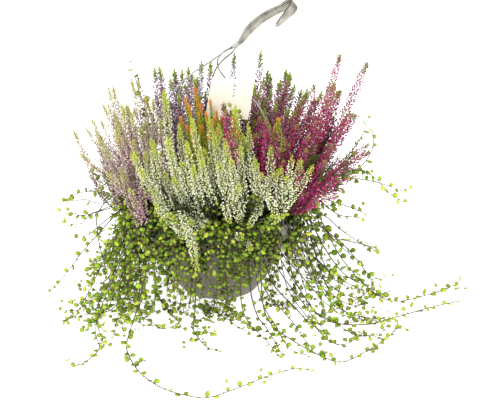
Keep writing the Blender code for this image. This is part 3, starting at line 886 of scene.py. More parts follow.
@dataclass
class Pot:
    """The tapered pot, turned with a rolled lip, and its drain holes."""

    steps: int = 120
    drain_radius: float = 0.0045
    drain_circle: float = 0.036
    drain_count: int = 5
    finish: MouldedPlastic = MouldedPlastic(
        "polypropylene_moulded_matt_taupe", "#6E6C5C", "#7E7A69", 0.58, 34.0, 1.4, 0.25,
        dust_share=0.35)

    def profile(self) -> list[Pair]:
        """The pot's outline, from its inside to its underside.

        Returns:
            The radius and height of each corner.
        """
        wall = POT_WALL
        inside = [(r - wall, max(z, wall)) for z, r in POT_OUTSIDE if r != 0.058]
        top = POT_HEIGHT
        lip = [(0.1125, top - 0.0007), (0.1135, top), (LIP_RADIUS - 0.0016, top),
               (LIP_RADIUS - 0.0005, top - 0.0005), (LIP_RADIUS, top - 0.0016),
               (LIP_RADIUS, top - LIP_DROP + 0.0006), (LIP_RADIUS - 0.0006, top - LIP_DROP),
               (LIP_RADIUS - 0.0017, top - LIP_DROP), (LIP_RADIUS - 0.002, top - 0.004),
               (0.1139, top - 0.0045)]
        outside = [(0.0930, 0.0630), (0.0925, 0.0612), (0.0715, 0.0202), (0.0695, 0.0178),
                   (0.0592, 0.0048), (0.0572, 0.0022), (0.0535, 0.0004), (0.0515, 0.0)]
        foot = [(0.0485, 0.0), (0.0478, 0.0007), (0.0, 0.0007)]
        return [(0.0, wall), *inside[:-1], *lip, *outside, *foot]

    def build(self) -> None:
        """Turns the pot, drills it and dresses it."""
        rings = [ring_at(radius, height, self.steps) for radius, height in self.profile()]
        pot = closed_shell("pot_shell", rings, close_ends=False)
        drills = []
        for number in range(self.drain_count):
            turn = math.tau * (number + 0.25) / self.drain_count
            x, y = self.drain_circle * math.cos(turn), self.drain_circle * math.sin(turn)
            ends = [ring_at(self.drain_radius, height, 20, x, y) for height in (-0.01, 0.01)]
            drill = closed_shell(f"drill_{number}", ends)
            cut = pot.modifiers.new(drill.name, "BOOLEAN")
            cut.operation, cut.object, cut.solver = "DIFFERENCE", drill, "EXACT"
            drills.append(drill)
        finish_piece(pot, 40.0, self.finish.material())
        drop(*drills)
        hand_over(pot, "pot")


@dataclass
class Compost:
    """The compost: a lumpy plug with loose crumbs on top."""

    rings: int = 26
    steps: int = 72
    lump: float = 0.0018
    highest: float = 0.0012
    crumbs: int = 620
    finish: LooseCompost = LooseCompost()

    def build(self, garden: Garden) -> None:
        """Shapes the plug, strews the crumbs and dresses both.

        Args:
            garden: The growing trees, for the crumb's shape.
        """
        rng = np.random.default_rng(41)
        reach = float(pot_radius(SOIL_TOP)) - POT_WALL - 0.0012
        profile = [(0.0, 0.0035), (0.048, 0.0035), (0.066, 0.019), (0.0885, 0.062),
                   (reach, SOIL_TOP - 0.003)]
        profile += [(reach * (1 - k / self.rings), SOIL_TOP - 0.001)
                    for k in range(self.rings + 1)]
        rings = []
        for number, (radius, height) in enumerate(profile):
            turns = [math.tau * k / self.steps for k in range(self.steps)]
            rises = np.zeros(self.steps)
            # Only the top is lumpy, and it is level at its edge and its middle
            if number > 5:
                waves = [self.lump * math.sin(7 * a + radius * 160) for a in turns]
                bumps = rng.normal(0.0, self.lump * 0.5, self.steps)
                rises = np.minimum(bumps + waves, self.highest) * (radius > 0.0)
            rings.append([polar(radius, a, height + rise) for a, rise in zip(turns, rises)])
        skin = self.finish.material()
        bed = closed_shell("compost_bed", rings, close_ends=False)
        bed.data.materials.append(skin)
        lines = []
        for _ in range(self.crumbs):
            turn, radius = rng.uniform(0, math.tau), reach * 0.96 * math.sqrt(rng.uniform())
            spot = polar(radius, turn, SOIL_TOP)
            lines.append(Line(np.array([spot, spot + (0.0, 0.0, 0.0012)]), 0.0))
        guides = guide_object("crumb_guides", lines)
        plan = Spray(Bit.CRUMB, 0.001, -0.1, 0.7, 0.0, 0.001, 90, 80, 0.002, 0.0065, seed=3)
        strewn = garden.spray(guides, plan, skin)
        drop(guides)
        hand_over(join("compost_bed", [bed, strewn]), "soil")


@dataclass
class Hanger:
    """The moulded hanger: a channelled hook strip and three thin strands."""

    # The hook's foot, and its directions along the shank and across the gap
    joint: tuple = (0.0275, 0.005, 0.367)
    along: tuple = (0.73135, 0.25548, 0.63234)
    across: tuple = (0.34100, -0.93996, -0.01459)
    length: float = 0.093
    gap: float = 0.026
    thickness: float = 0.0034
    back_leg: float = 0.029
    bow: float = 0.0055
    droop: float = 0.0065
    strand_radius: float = 0.0012
    tooth_pitch: float = 0.0036
    # Its flow clouds are drawn dark and in strong contrast, partly as painted sheen: light and dark
    # patches of its gloss
    finish: MouldedPlastic = MouldedPlastic(
        "polyamide_moulded_satin_grey", "#A9A59A", "#69655B", 0.20, 16.0, 0.9, 0.06,
        spread=0.16, dust="#B9B4A6", dust_share=0.08)
    # The rib and the teeth, dark as painted shade in the channel
    ribs: MouldedPlastic = MouldedPlastic(
        "polyamide_moulded_shaded_ribs", "#6A675C", "#4C4A42", 0.45, 3.0, 0.6, 0.3)
    clips: MouldedPlastic = MouldedPlastic(
        "polyamide_moulded_grey_clip", "#7A776A", "#8A8677", 0.42, 9.0, 0.8, 0.15)
    # Where the strands leave the hook's foot, across its width, and where they are clipped
    offsets: dict = field(default_factory=lambda: {"left": -0.003, "right": 0.0, "back": 0.003})
    clip_azimuths: dict = field(
        default_factory=lambda: {"left": 200.0, "right": 320.0, "back": 80.0})
    # Each strand's way from the hook to its clip, in millimetres
    routes: dict = field(default_factory=lambda: {
        "left": [(6, -2, 355.5), (-16, -6, 341), (-42, -10, 324), (-66, -19, 298),
            (-84, -27, 266), (-98, -34, 220), (-108, -38, 170)],
        "right": [(11, 7.5, 357.5), (1, 6, 346), (1, 3, 335), (7, 1.2, 325), (14, 0.2, 317),
            (29, 0.2, 305), (43, 0.4, 293.5), (55, 0.4, 283), (67, -16, 266),
            (77, -42, 240), (86, -62, 202), (91, -74, 165)],
        "back": [(19, 13, 352), (7, 19, 340), (-1, 24, 329), (-7, 34, 313), (-10, 52, 285),
            (-4, 78, 240), (8, 101, 190), (16, 112, 155)]})

    def axes(self) -> tuple[Vector, Vector, Vector]:
        """Directions along the shank, across the hook's gap and along its width."""
        along, across = Vector(self.along).normalized(), Vector(self.across).normalized()
        return along, across, along.cross(across)

    def hook_line(self) -> list[Vector]:
        """The strip's centre line: bowed shank, half turn and flared return leg.

        Returns:
            Its points, from foot to tip.
        """
        along, across, width_way = self.axes()
        radius = self.gap / 2
        start = Vector(self.joint) + 0.003 * along
        top = self.length - radius
        line = [start + along * top * k / 24 + width_way * (
            self.droop * (k / 24) ** 2 - self.bow * math.sin(math.pi * k / 24))
            for k in range(24)]
        start = start + width_way * self.droop
        for step in range(21):
            angle = math.pi * step / 20
            line.append(start + along * (top + radius * math.sin(angle))
                        + across * (radius - radius * math.cos(angle)))
        end = start + along * (top - self.back_leg) + across * (self.gap + 0.005)
        line += [line[-1].lerp(end, k / 8) for k in range(1, 9)]
        return line

    @staticmethod
    def half_widths(walked: float, left: float) -> Pair:
        """How far the strip reaches to its upper and its lower edge.

        Args:
            walked: The distance from the strip's foot.
            left: The distance to its tip.

        Returns:
            The upper and the lower half width.
        """
        upper = np.interp(walked, [0.0, 0.0225, 0.0240], [0.0015, 0.0068, 0.0061])
        lower = np.interp(walked, [0.0, 0.002, 0.0045, 0.026], [0.0025, 0.0046, 0.0053, 0.0063])
        tip = np.interp(left, [0.0, 0.002, 0.012, 0.030], [0.15, 0.30, 0.62, 1.0])
        return float(upper * tip), float(lower * tip)

    def section(self, upper: float, lower: float) -> list[Pair]:
        """The strip's outline: a flat outer face, and two flanges, a web and a ridge inside.

        Args:
            upper: Its upper half width.
            lower: Its lower half width.

        Returns:
            Each corner's place along the width and through the thickness.
        """
        t = self.thickness / 2
        edge, rib = min(0.0015, 0.3 * (upper + lower) / 2), -0.25 * upper
        slim, web = min(0.0005, 0.1 * upper), t - 0.0012
        return [(-upper, t), (lower, t), (lower, -t), (lower - edge, -t),
                (lower - edge * 1.25, web), (rib + slim * 1.4, web), (rib + slim, -t * 0.4),
                (rib - slim, -t * 0.4), (rib - slim * 1.4, web), (-upper + edge * 1.25, web),
                (-upper + edge, -t), (-upper, -t)]

    def build_hook(self) -> None:
        """Sweeps the channelled strip, sets its teeth and dresses it."""
        _, _, width_way = self.axes()
        line = self.hook_line()
        steps = [(b - a).length for a, b in zip(line, line[1:])]
        rings, frames = [], []
        for number, point in enumerate(line):
            before, after = line[max(0, number - 1)], line[min(len(line) - 1, number + 1)]
            heading = (after - before).normalized()
            thick_way = heading.cross(width_way).normalized()
            upper, lower = self.half_widths(sum(steps[:number]), sum(steps[number:]))
            rings.append([point + width_way * a + thick_way * b
                          for a, b in self.section(upper, lower)])
            frames.append((point, heading, thick_way, upper, lower))
        hook = closed_shell("hanger_hook_strip", rings)
        soften = hook.modifiers.new("soften", "BEVEL")
        soften.width, soften.segments, soften.limit_method = 0.0003, 2, "ANGLE"
        soften.angle_limit = math.radians(40)
        finish_piece(hook, 40.0, self.finish.material())
        # Teeth on a dark rib line the channel, from the top of the half turn to the tip. Their dark
        # finish and the rib that fills the channel are painted shade, the shadow inside it
        dark, t = self.ribs.material(), self.thickness / 2
        parts, tooth = [hook], self.tooth_pitch
        for (point, heading, thick_way, upper, lower), (other, *_) in zip(
                frames[33:-2], frames[34:-1]):
            walked = 0.0
            while walked + tooth <= (other - point).length + tooth * 0.5:
                middle = point.lerp(other, walked / max((other - point).length, 1e-6))
                walked += tooth
                rings = [[middle + width_way * a + heading * 0.0007 * b + thick_way * level
                          for a, b in ((-upper - 0.0004, -1), (lower + 0.0004, -1),
                                       (lower + 0.0004, 1), (-upper - 0.0004, 1))]
                         for level in (t - 0.0014, -t - 0.0006)]
                parts.append(closed_shell("tooth", rings))
                parts[-1].data.materials.append(dark)
            rings = [[at + width_way * a + thick_way * b
                      for a, b in ((-upper - 0.0002, t - 0.0012), (lower + 0.0002, t - 0.0012),
                                   (lower + 0.0002, -t - 0.0003), (-upper - 0.0002, -t - 0.0003))]
                     for at in (point, other)]
            parts.append(closed_shell("rib", rings))
            parts[-1].data.materials.append(dark)
        hook = join("hanger_hook_strip", parts)
        hook.data.set_sharp_from_angle(angle=math.radians(40))
        hand_over(hook, "hanger_hook")

    def strand_line(self, side: str) -> Points:
        """A strand's centre line, from inside the hook's foot to just above its clip.

        Args:
            side: The strand's side.

        Returns:
            Its points.
        """
        along, _, width_way = self.axes()
        top = Vector(self.joint) + 0.0023 * along + self.offsets[side] * width_way
        neck = top - 0.009 * along
        turn = math.radians(self.clip_azimuths[side])
        foot = polar(LIP_RADIUS + 0.0004 + 0.0011, turn, POT_HEIGHT + 0.0036)
        line = smooth([top, neck, *np.array(self.routes[side]) * MM, foot], 0.004)
        inside = np.array(top + 0.0016 * along)
        return np.vstack([inside, line])

    def build(self, garden: Garden) -> None:
        """Builds the hook, then the three strands, and gives the clips their finish.

        Args:
            garden: The growing trees, which sweep the strands.
        """
        self.build_hook()
        for side in self.offsets:
            guides = guide_object(f"strand_{side}", [
                Line(self.strand_line(side), self.strand_radius, taper=1.0)])
            rod = garden.stems(guides, self.finish.material(), 10)
            drop(guides)
            rod = join(f"hanger_strand_{side}_rod", [rod])
            hand_over(rod, f"hanger_strand_{side}")
            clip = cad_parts[f"rim_clip_{side}"]
            clip.data.materials.clear()
            clip.data.materials.append(self.clips.material())
            LOG.info("%s: kept from the CAD", clip.name)


@dataclass
class Tag:
    """The blank card tag, a little bent, with its hanging slot."""

    width: float = 0.060
    height: float = 0.058
    thickness: float = 0.0006
    centre: tuple = (0.020, -0.0018, 0.2905)
    turn: float = math.radians(5.0)
    slot_centre: tuple = (0.003, 0.012)
    slot_size: tuple = (0.0030, 0.027)
    bow: float = 0.0022
    cells: int = 22
    finish: PressedCard = PressedCard()

    def build(self) -> None:
        """Cuts the card from a grid, bends it and gives it its thickness."""
        half_w, half_h = self.width / 2, self.height / 2
        slot_x = [self.slot_centre[0] + s * self.slot_size[0] / 2 for s in (-1, 1)]
        slot_z = [self.slot_centre[1] + s * self.slot_size[1] / 2 for s in (-1, 1)]
        xs = sorted({*np.linspace(-half_w, half_w, self.cells).round(5), *slot_x})
        zs = sorted({*np.linspace(-half_h, half_h, self.cells).round(5), *slot_z})
        work = bmesh.new()
        grid = [[work.verts.new((x, 0.0, z)) for x in xs] for z in zs]
        for i in range(len(zs) - 1):
            for j in range(len(xs) - 1):
                x, z = (xs[j] + xs[j + 1]) / 2, (zs[i] + zs[i + 1]) / 2
                if not (slot_x[0] < x < slot_x[1] and slot_z[0] < z < slot_z[1]):
                    work.faces.new((grid[i][j], grid[i][j + 1], grid[i + 1][j + 1],
                                    grid[i + 1][j]))
        loose = [v for v in work.verts if not v.link_faces]
        bmesh.ops.delete(work, geom=loose, context="VERTS")
        place = (Matrix.Translation(Vector(self.centre) - Vector((0, self.thickness / 2, 0)))
                 @ Matrix.Rotation(self.turn, 4, "Y"))
        # Its sides draw in towards its foot, and its edges bow to the viewer
        for vert in work.verts:
            u, v = vert.co.x / half_w, vert.co.z / half_h
            vert.co.x -= 0.0022 * max(u, 0.0) * (1 - v) + 0.0026 * max(-u, 0.0) * (1 - v)
            vert.co.y -= self.bow * (0.55 * u * u + 0.45 * abs(u * v) * (1 if v > 0 else 0.3))
            vert.co = place @ vert.co
        mesh = bpy.data.meshes.new("tag_card")
        work.to_mesh(mesh)
        work.free()
        card = link("tag_card", mesh)
        wall = card.modifiers.new("thickness", "SOLIDIFY")
        wall.thickness, wall.offset = self.thickness, 0.0
        finish_piece(card, 50.0, self.finish.material())
        hand_over(card, "plant_tag")


@dataclass
class Heather:
    """One heather: shoots that leave the crown, turn up and end in flower columns."""

    # The CAD node's own values: its crown, and the dome that its spikes end on
    colour: str
    azimuth: float | None
    count: int
    centre: Pair
    reach: Pair
    height: float
    fall: float
    # Its fresh finishes, its random seed and its slot
    petals: GrownTissue
    greens: GrownTissue
    seed: int
    slot: str
    # Its florets: their spacing, sizes, nearest and furthest stand, and where they end
    floret_step: float = 0.00042
    floret_size: Pair = (0.0038, 0.0054)
    stand: Pair = (0.0012, 0.0040)
    floret_to: float = 0.92
    # Its green tips: where they start, and how far their needles stand and reach
    tip_from: float = 0.80
    point: Triple = (0.0022, 0.0040, 0.0060)
    # Its shoots: the share with a side shoot, the short ones, and their width and shape
    laterals: float = 0.5
    short: int = 26
    bush: float = 1.0
    spear: Triple = (0.85, 1.0, 0.22)
    end: float = 0.85
    # Spikes nearer the viewer than this are left to COLUMNS and TIPS, the rest sunk a little and
    # painted darker as shade
    front: float = -1.0
    sunk: float = 0.0
    # The inner shoots, by number and height, and the spacing of needles among the florets
    brush: tuple[int, float] = (0, 0.0)
    leafy: float = 0.0
    inside_rim: float = 0.116
    # The finish of the needles at the long shoots' feet and on the short shoots: painted shade,
    # dark between the columns
    inner: GrownTissue = GrownTissue("heather_needles_old_shaded", "#1E2A12", "#44581F",
                                     "#12180C", "#5E7630", 0.6, 1.0, vary=0.2)

    def crown(self) -> Points:
        """Where the plant's shoots start."""
        radius = 0.0 if self.azimuth is None else CROWN_CIRCLE
        return polar(radius, math.radians(self.azimuth or 0.0), ROOTS)

    def cad_tips(self) -> list[Points]:
        """The ends of the CAD node's spikes, by its own rule.

        Returns:
            The ends.
        """
        made = []
        for number in range(self.count):
            share = math.sqrt((number + 0.5) / self.count)
            turn = number * GOLDEN_ANGLE
            made.append(np.array([
                self.centre[0] + self.reach[0] * share * math.cos(turn),
                self.centre[1] + self.reach[1] * share * math.sin(turn),
                self.height - self.fall * share * share]))
        return made

    def foot_of(self, tip: Points, rng: Rng) -> Points:
        """Where a shoot turns up and its flowers start.

        Args:
            tip: The shoot's end.
            rng: The plant's own random source.

        Returns:
            The place of the turn.
        """
        crown = self.crown()
        way = (tip - crown)[:2]
        foot = crown[:2] + way * rng.uniform(0.42, 0.68) + rng.normal(0.0, 0.004, 2)
        foot *= min(1.0, self.inside_rim / np.hypot(*foot))
        rise = max(tip[2] - SOIL_TOP, 0.02)
        return np.array([*foot, SOIL_TOP + min(rng.uniform(0.030, 0.052), 0.5 * rise)])

    def shoot(self, foot: Points, tip: Points, rng: Rng) -> Line:
        """A shoot from the crown through its foot to its end.

        Args:
            foot: Where it turns up and its flowers start.
            tip: Its end.
            rng: The plant's own random source.

        Returns:
            The shoot's line.
        """
        crown = self.crown()
        base = crown + (foot - crown) * rng.uniform(0.35, 0.55)
        base[2] = ROOTS
        low = base * 0.45 + foot * 0.55
        low[2] = base[2] + (foot[2] - base[2]) * 0.42
        span = tip - foot
        out = np.array([span[0], span[1], 0.0])
        middle = foot + span * 0.5 + out * 0.08 + rng.normal(0.0, 0.0016, 3)
        knots = [base, low, foot, middle, tip]
        line = smooth(knots, 0.007)
        below = np.linalg.norm(low - base) + np.linalg.norm(foot - low)
        return Line(line, 0.0008, column=self.bush * rng.uniform(0.8, 1.15),
                    mood=rng.uniform(), vigour=rng.uniform(0.88, 1.1), end_vigour=self.end,
                    bare=min(0.8, below / length(line)), spear=self.spear)

    def side_shoots(self, lines: list[Line], rng: Rng) -> list[Line]:
        """Short shoots that branch off longer ones.

        Args:
            lines: The shoots that they leave.
            rng: The plant's own random source.

        Returns:
            The side shoots.
        """
        made = []
        for line in lines:
            if rng.uniform() > self.laterals:
                continue
            at = int(len(line.points) * rng.uniform(0.36, 0.62))
            start = line.points[at]
            heading = line.points[at + 1] - start
            heading = heading / np.linalg.norm(heading)
            sideways = rng.normal(0.0, 1.0, 3)
            sideways -= heading * (sideways @ heading)
            sideways /= np.linalg.norm(sideways)
            reach = rng.uniform(0.026, 0.048)
            end = start + heading * reach + sideways * reach * rng.uniform(0.22, 0.42)
            bend = start + heading * reach * 0.4 + sideways * reach * 0.26
            end[2] += 0.005
            made.append(Line(arc(start, bend, end, 7), 0.0006,
                             column=self.bush * rng.uniform(0.55, 0.8), mood=rng.uniform(),
                             vigour=rng.uniform(0.75, 0.95), bare=0.1, spear=self.spear))
        return made

    def short_shoots(self, rng: Rng) -> list[Line]:
        """Short leafy shoots that fill the plant's foot.

        Args:
            rng: The plant's own random source.

        Returns:
            The short shoots.
        """
        made = []
        for _ in range(self.short):
            turn, out = rng.uniform(0, math.tau), math.sqrt(rng.uniform())
            way = polar(1.0, turn, 0.0)
            base = self.crown() + way * 0.030 * out
            tip = base + way * rng.uniform(0.008, 0.030) * out
            tip[2] = SOIL_TOP + rng.uniform(0.040, 0.085)
            # Their mood is kept low, painted shade at the plant's foot
            made.append(Line(arc(base, (base + tip) / 2 - way * 0.004, tip, 7), 0.0007,
                             column=0.8, mood=rng.uniform() * 0.6))
        count, height = self.brush
        for _ in range(count):
            turn, out = rng.uniform(0, math.tau), math.sqrt(rng.uniform())
            tip = np.array([self.centre[0] + self.reach[0] * 0.8 * out * math.cos(turn),
                            self.centre[1] + self.reach[1] * 0.8 * out * math.sin(turn),
                            height * rng.uniform(0.74, 1.0)])
            line = self.shoot(self.foot_of(tip, rng), tip, rng)
            # The brush shoots too: a low mood, painted shade among the columns
            line.column, line.mood = 1.0, rng.uniform() * 0.6
            made.append(line)
        return made

    def build(self, garden: Garden, wood: Material) -> None:
        """Grows the plant and dresses it.

        Args:
            garden: The growing trees.
            wood: The finish of its stems.
        """
        rng = np.random.default_rng(self.seed)
        full, hanging = [], []
        for place in COLUMNS.get(self.colour, ()):
            foot, tip = np.array(place[:3]) * MM, np.array(place[3:]) * MM
            line = self.shoot(foot, tip, rng)
            if tip[2] < foot[2]:
                line.spear = (0.8, 1.0, 0.7)
            (hanging if tip[2] < foot[2] else full).append(line)
        for tip in self.cad_tips():
            if tip[1] > self.front:
                tip[2] -= self.sunk * (tip[2] - SOIL_TOP)
                full.append(self.shoot(self.foot_of(tip, rng), tip, rng))
                # The sunk spikes are painted darker too, as shade behind the ones in front
                full[-1].mood *= 1 - 4 * self.sunk
        for place in TIPS[self.colour]:
            tip = np.array(place) * MM
            full.append(self.shoot(self.foot_of(tip, rng), tip, rng))
            full[-1].column *= 0.85 if self.colour == "white" else 1.0
        slim = self.side_shoots(full, rng)
        low = self.short_shoots(rng)
        guides = [guide_object(f"{self.colour}_{word}", lines) for word, lines in (
            ("long", full), ("side", slim), ("short", low), ("hanging", hanging or low[:1]))]
        petals, greens = self.petals.material(), self.greens.material()
        old = self.inner.material()
        (small, large), (near, far), seed = self.floret_size, self.stand, self.seed
        # Which guides, the layer of bits on them, and its material
        plans = [
            (0, Spray(Bit.FLORET, self.floret_step, -0.03, self.floret_to, near, far, 56, 26,
                      small, large, seed=seed), petals),
            (1, Spray(Bit.FLORET, self.floret_step * 1.3, 0.0, 0.92, near, far, 56, 26,
                      small, large, seed=seed + 1), petals),
            (0, Spray(Bit.NEEDLE, 0.00045, self.tip_from, 1.01, 0.0003, self.point[0], 20, 10,
                      self.point[1], self.point[2], seed=seed + 2), greens),
            (1, Spray(Bit.NEEDLE, 0.0009, 0.82, 1.01, 0.0003, 0.0018, 22, 12,
                      0.0034, 0.0052, seed=seed + 3), greens),
            # Needles in the inner finish at the long shoots' feet and all over the short shoots:
            # painted shade in the gaps between the columns
            (0, Spray(Bit.NEEDLE, 0.0014, -3.0, 0.22, 0.0002, 0.0018, 40, 20, 0.0040, 0.0068,
                      seed=seed + 4), old),
            (2, Spray(Bit.NEEDLE, 0.0012, 0.05, 1.01, 0.0002, 0.0034, 44, 20, 0.0050, 0.0080,
                      seed=seed + 5), old)]
        if self.leafy:
            plans.append((0, Spray(Bit.NEEDLE, self.leafy, 0.05, self.tip_from, 0.0003,
                                   far * 0.8, 42, 20, 0.0038, 0.0056, seed=seed + 7), greens))
        if hanging:
            plans.append((3, Spray(Bit.FLORET, self.floret_step * 0.9, -0.03, 1.02, near, far,
                                   56, 26, small, large, seed=seed + 6), petals))
        parts = [garden.stems(guide, wood, 3) for guide in guides]
        parts += [garden.spray(guides[which], plan, skin) for which, plan, skin in plans]
        drop(*guides)
        plant = join(f"heather_{self.colour}_plant", parts)
        settle(plant)
        hand_over(plant, f"heather_{self.colour}")


@dataclass(frozen=True)
class Habit:
    """How a group of vine stems grows, in metres, with twigs for each 100 mm of stem."""

    girth: float
    twigs: float
    longest: float
    step: float
    bare: float
    small: float
    large: float


BUNCH = Habit(0.0006, 1.8, 0.042, 0.0086, 0.14, 0.0056, 0.0082)
FAN = Habit(0.0008, 1.5, 0.024, 0.0114, 0.50, 0.0066, 0.0096)
INNER = Habit(0.0005, 1.0, 0.020, 0.0052, 0.14, 0.0060, 0.0086)
RISER = Habit(0.0006, 0.5, 0.016, 0.0062, 0.0, 0.0066, 0.0092)
LONG = Habit(0.0010, 1.5, 0.024, 0.0100, 0.05, 0.0070, 0.0102)


@dataclass
class Vine:
    """The wire vine: six bunches over the rim, thin trails and the long stems."""

    garden: Garden
    leaves: GrownTissue = GrownTissue(
        "wire_vine_leaf_fresh_glossy", "#8CB22C", "#AACA36", "#4E7E1C", "#BED046", 0.75, 1.1,
        shade_share=0.5, blush="#C4CA48", blush_share=0.07, roughness=0.45, vary=0.34,
        foot_from=-0.2, foot_to=0.8)
    wood: WiryBark = WiryBark("wire_vine_stem_wiry_dark", "#4C3E38", "#80624E", "#342925")
    # Leaves painted dark as shade, on the stems that lie close under the rim
    old: GrownTissue = GrownTissue(
        "wire_vine_leaf_old_matt", "#26400F", "#3E6016", "#162A08", "#4C701C", 0.75, 1.1,
        shade_share=0.5, roughness=0.6, vary=0.3, foot_from=-0.2, foot_to=0.8)
    twig_girth: float = 0.0006
    twig_step: float = 0.0088
    # Each bunch's first and last azimuth, its reach on the floor at three of them, its stems
    sectors: dict = field(default_factory=lambda: {
        "right": (-36.5, 16.0, 0.150, 0.172, 0.160, 9),
        "back_right": (18.0, 76.5, 0.160, 0.178, 0.170, 28),
        "back_left": (83.5, 140.0, 0.165, 0.180, 0.178, 28),
        "left": (142.0, 196.5, 0.178, 0.205, 0.208, 27),
        "front_left": (203.5, 258.0, 0.208, 0.195, 0.115, 33),
        "front": (260.0, 316.5, 0.108, 0.112, 0.145, 28)})
    # The share of a bunch's stems that end in the air
    hanging: dict = field(default_factory=lambda: {
        "right": 0.55, "back_right": 0.35, "back_left": 0.35, "left": 0.35,
        "front_left": 0.35, "front": 0.66})
    # Stems whose leaves are painted dark as shade: first and last azimuth, reach, lowest end and
    # number
    inner: dict = field(default_factory=lambda: {
        "front": (238.0, 312.0, 0.112, 0.072, 20),
        "front_left": (206.0, 252.0, 0.170, 0.040, 16),
        "right": (-34.0, 15.0, 0.124, 0.050, 12)})
    # The leafless share of a bunch's stems, where it isn't BUNCH's own
    bare: dict = field(default_factory=lambda: {"front": 0.16, "front_left": 0.16})

    def __post_init__(self) -> None:
        """Makes the materials of the fresh leaves, the bark and the leaves painted dark as shade.
        """
        self.fresh, self.bark, self.dull = [
            finish.material() for finish in (self.leaves, self.wood, self.old)]

    def face_radius(self, reach: float, height: Points) -> Points:
        """How far a bunch's outer face stands out at a height."""
        slope = reach - LIP_RADIUS
        return np.interp(height, [0.006, 0.030, 0.078, 0.122, 0.146], [
            reach, LIP_RADIUS + slope * 0.94, LIP_RADIUS + slope * 0.66,
            LIP_RADIUS + 0.014 + 0.25 * slope, LIP_RADIUS + 0.006])

    def skirt(self, azimuth: float, reach: float, layer: float, end: float, trail: float,
              swing: float, rng: Rng) -> Points:
        """One stem over the rim, down the outside of the pot and along the floor.

        Args:
            azimuth: Where it crosses the rim, in radians.
            reach: How far the bunch reaches on the floor there.
            layer: From 0, against the pot, to 1, on the bunch's face.
            end: The height that it hangs down to, or 0 to reach the floor.
            trail: How far it then runs along the floor.
            swing: How far it drifts round the pot, in radians.
            rng: The random source.

        Returns:
            The stem's centre line.
        """
        top = rng.uniform(0.130, 0.140) + 0.016 * layer
        stations = [(rng.uniform(0.070, 0.092), ROOTS, -0.10),
                    (0.106, top - 0.006, -0.03), (LIP_RADIUS + 0.003 + 0.006 * layer, top, 0.0)]
        sag = rng.uniform(0.7, 1.35)
        floor = float(pot_radius(0.0)) + 0.014 + (reach - 0.064) * (0.30 + 0.70 * layer)
        for height in (0.116, 0.096, 0.074, 0.052, 0.030, 0.012):
            if height > end:
                fall = 1 - height / top
                wall = float(pot_radius(height)) + 0.006
                lean = LIP_RADIUS + 0.006 + (floor - LIP_RADIUS) * fall ** sag
                face = float(self.face_radius(reach, height)) + 0.004
                stations.append((max(wall, min(lean, face)), height, fall ** 1.3))
        if end <= 0.004:
            stations.append((floor, 0.0034, 1.05))
            for k in (0.35, 0.7, 1.0):
                stations.append((floor + trail * k, 0.0026, 1.05 + 0.6 * k))
        knots = []
        for radius, height, turn in stations:
            knot = polar(radius, azimuth + swing * turn, height)
            if 0.01 < height < 0.13:
                knot += rng.normal(0.0, 0.0026, 3)
            elif height < 0.01:
                knot[:2] += rng.normal(0.0, 0.0036, 2)
            knots.append(knot)
        return smooth(knots, 0.0065)

    @staticmethod
    def twigs(lines: list[Points], bares: list[float], habit: Habit, rng: Rng) -> list[Points]:
        """Side twigs that leave stems at an angle.

        Args:
            lines: The stems.
            bares: The leafless share of each, which bears no twig.
            habit: How often the stems branch and how far.
            rng: The random source.

        Returns:
            The twigs' centre lines.
        """
        made = []
        for line, bare in zip(lines, bares):
            for _ in range(rng.poisson(habit.twigs * length(line) / 0.1)):
                at = rng.integers(max(1, int(len(line) * max(0.15, bare))), len(line) - 1)
                start = line[at]
                heading = line[at] - line[at - 1]
                heading = heading / np.linalg.norm(heading)
                outward = np.array([start[0], start[1], 0.0])
                outward /= max(np.linalg.norm(outward), 1e-6)
                side = np.cross(heading, outward + (0.0, 0.0, 0.6)) * rng.choice((-1.0, 1.0))
                side /= max(np.linalg.norm(side), 1e-6)
                reach = rng.uniform(0.35, 1.0) * habit.longest
                bend = start + (heading * 0.40 + side * 0.45 + outward * 0.12) * reach
                end = start + (heading * rng.uniform(0.3, 0.8) + side * rng.uniform(0.5, 0.95)
                               + outward * rng.uniform(0.0, 0.45)) * reach
                for point in (bend, end):
                    point[2] = max(point[2] + 0.16 * reach, 0.0025)
                made.append(arc(start, bend, end, 5))
        return made

    @staticmethod
    def dressed(lines: list[Points], girth: float, bares: list[float], rng: Rng) -> list[Line]:
        """Centre lines as stems with their girth and the way that their leaves face.

        Args:
            lines: The centre lines.
            girth: Their radius at the foot.
            bares: The leafless share of each.
            rng: The random source.

        Returns:
            The stems.
        """
        made = []
        for line, bare in zip(lines, bares):
            middle = line[len(line) // 2]
            # Stems that lie close to the pot get a low mood: painted shade that darkens their
            # leaves under the rim
            outside = min(1.0, max(0.0, (np.hypot(*middle[:2]) - 0.112) / 0.060))
            out = np.array([middle[0], middle[1], 0.0]) / max(np.hypot(*middle[:2]), 1e-6)
            lift = 0.75 if middle[2] < 0.02 else 0.50
            near = out[1] < 0.3
            face = out * (0.4 if near else 0.8) + (0.0, -0.5 if near else 0.1, lift)
            made.append(Line(line, girth * rng.uniform(0.8, 1.15), taper=0.6,
                             mood=rng.uniform(0.5, 1.0) * outside,
                             vigour=rng.uniform(0.85, 1.1), end_vigour=0.8,
                             facing=tuple(face), bare=bare))
        return made

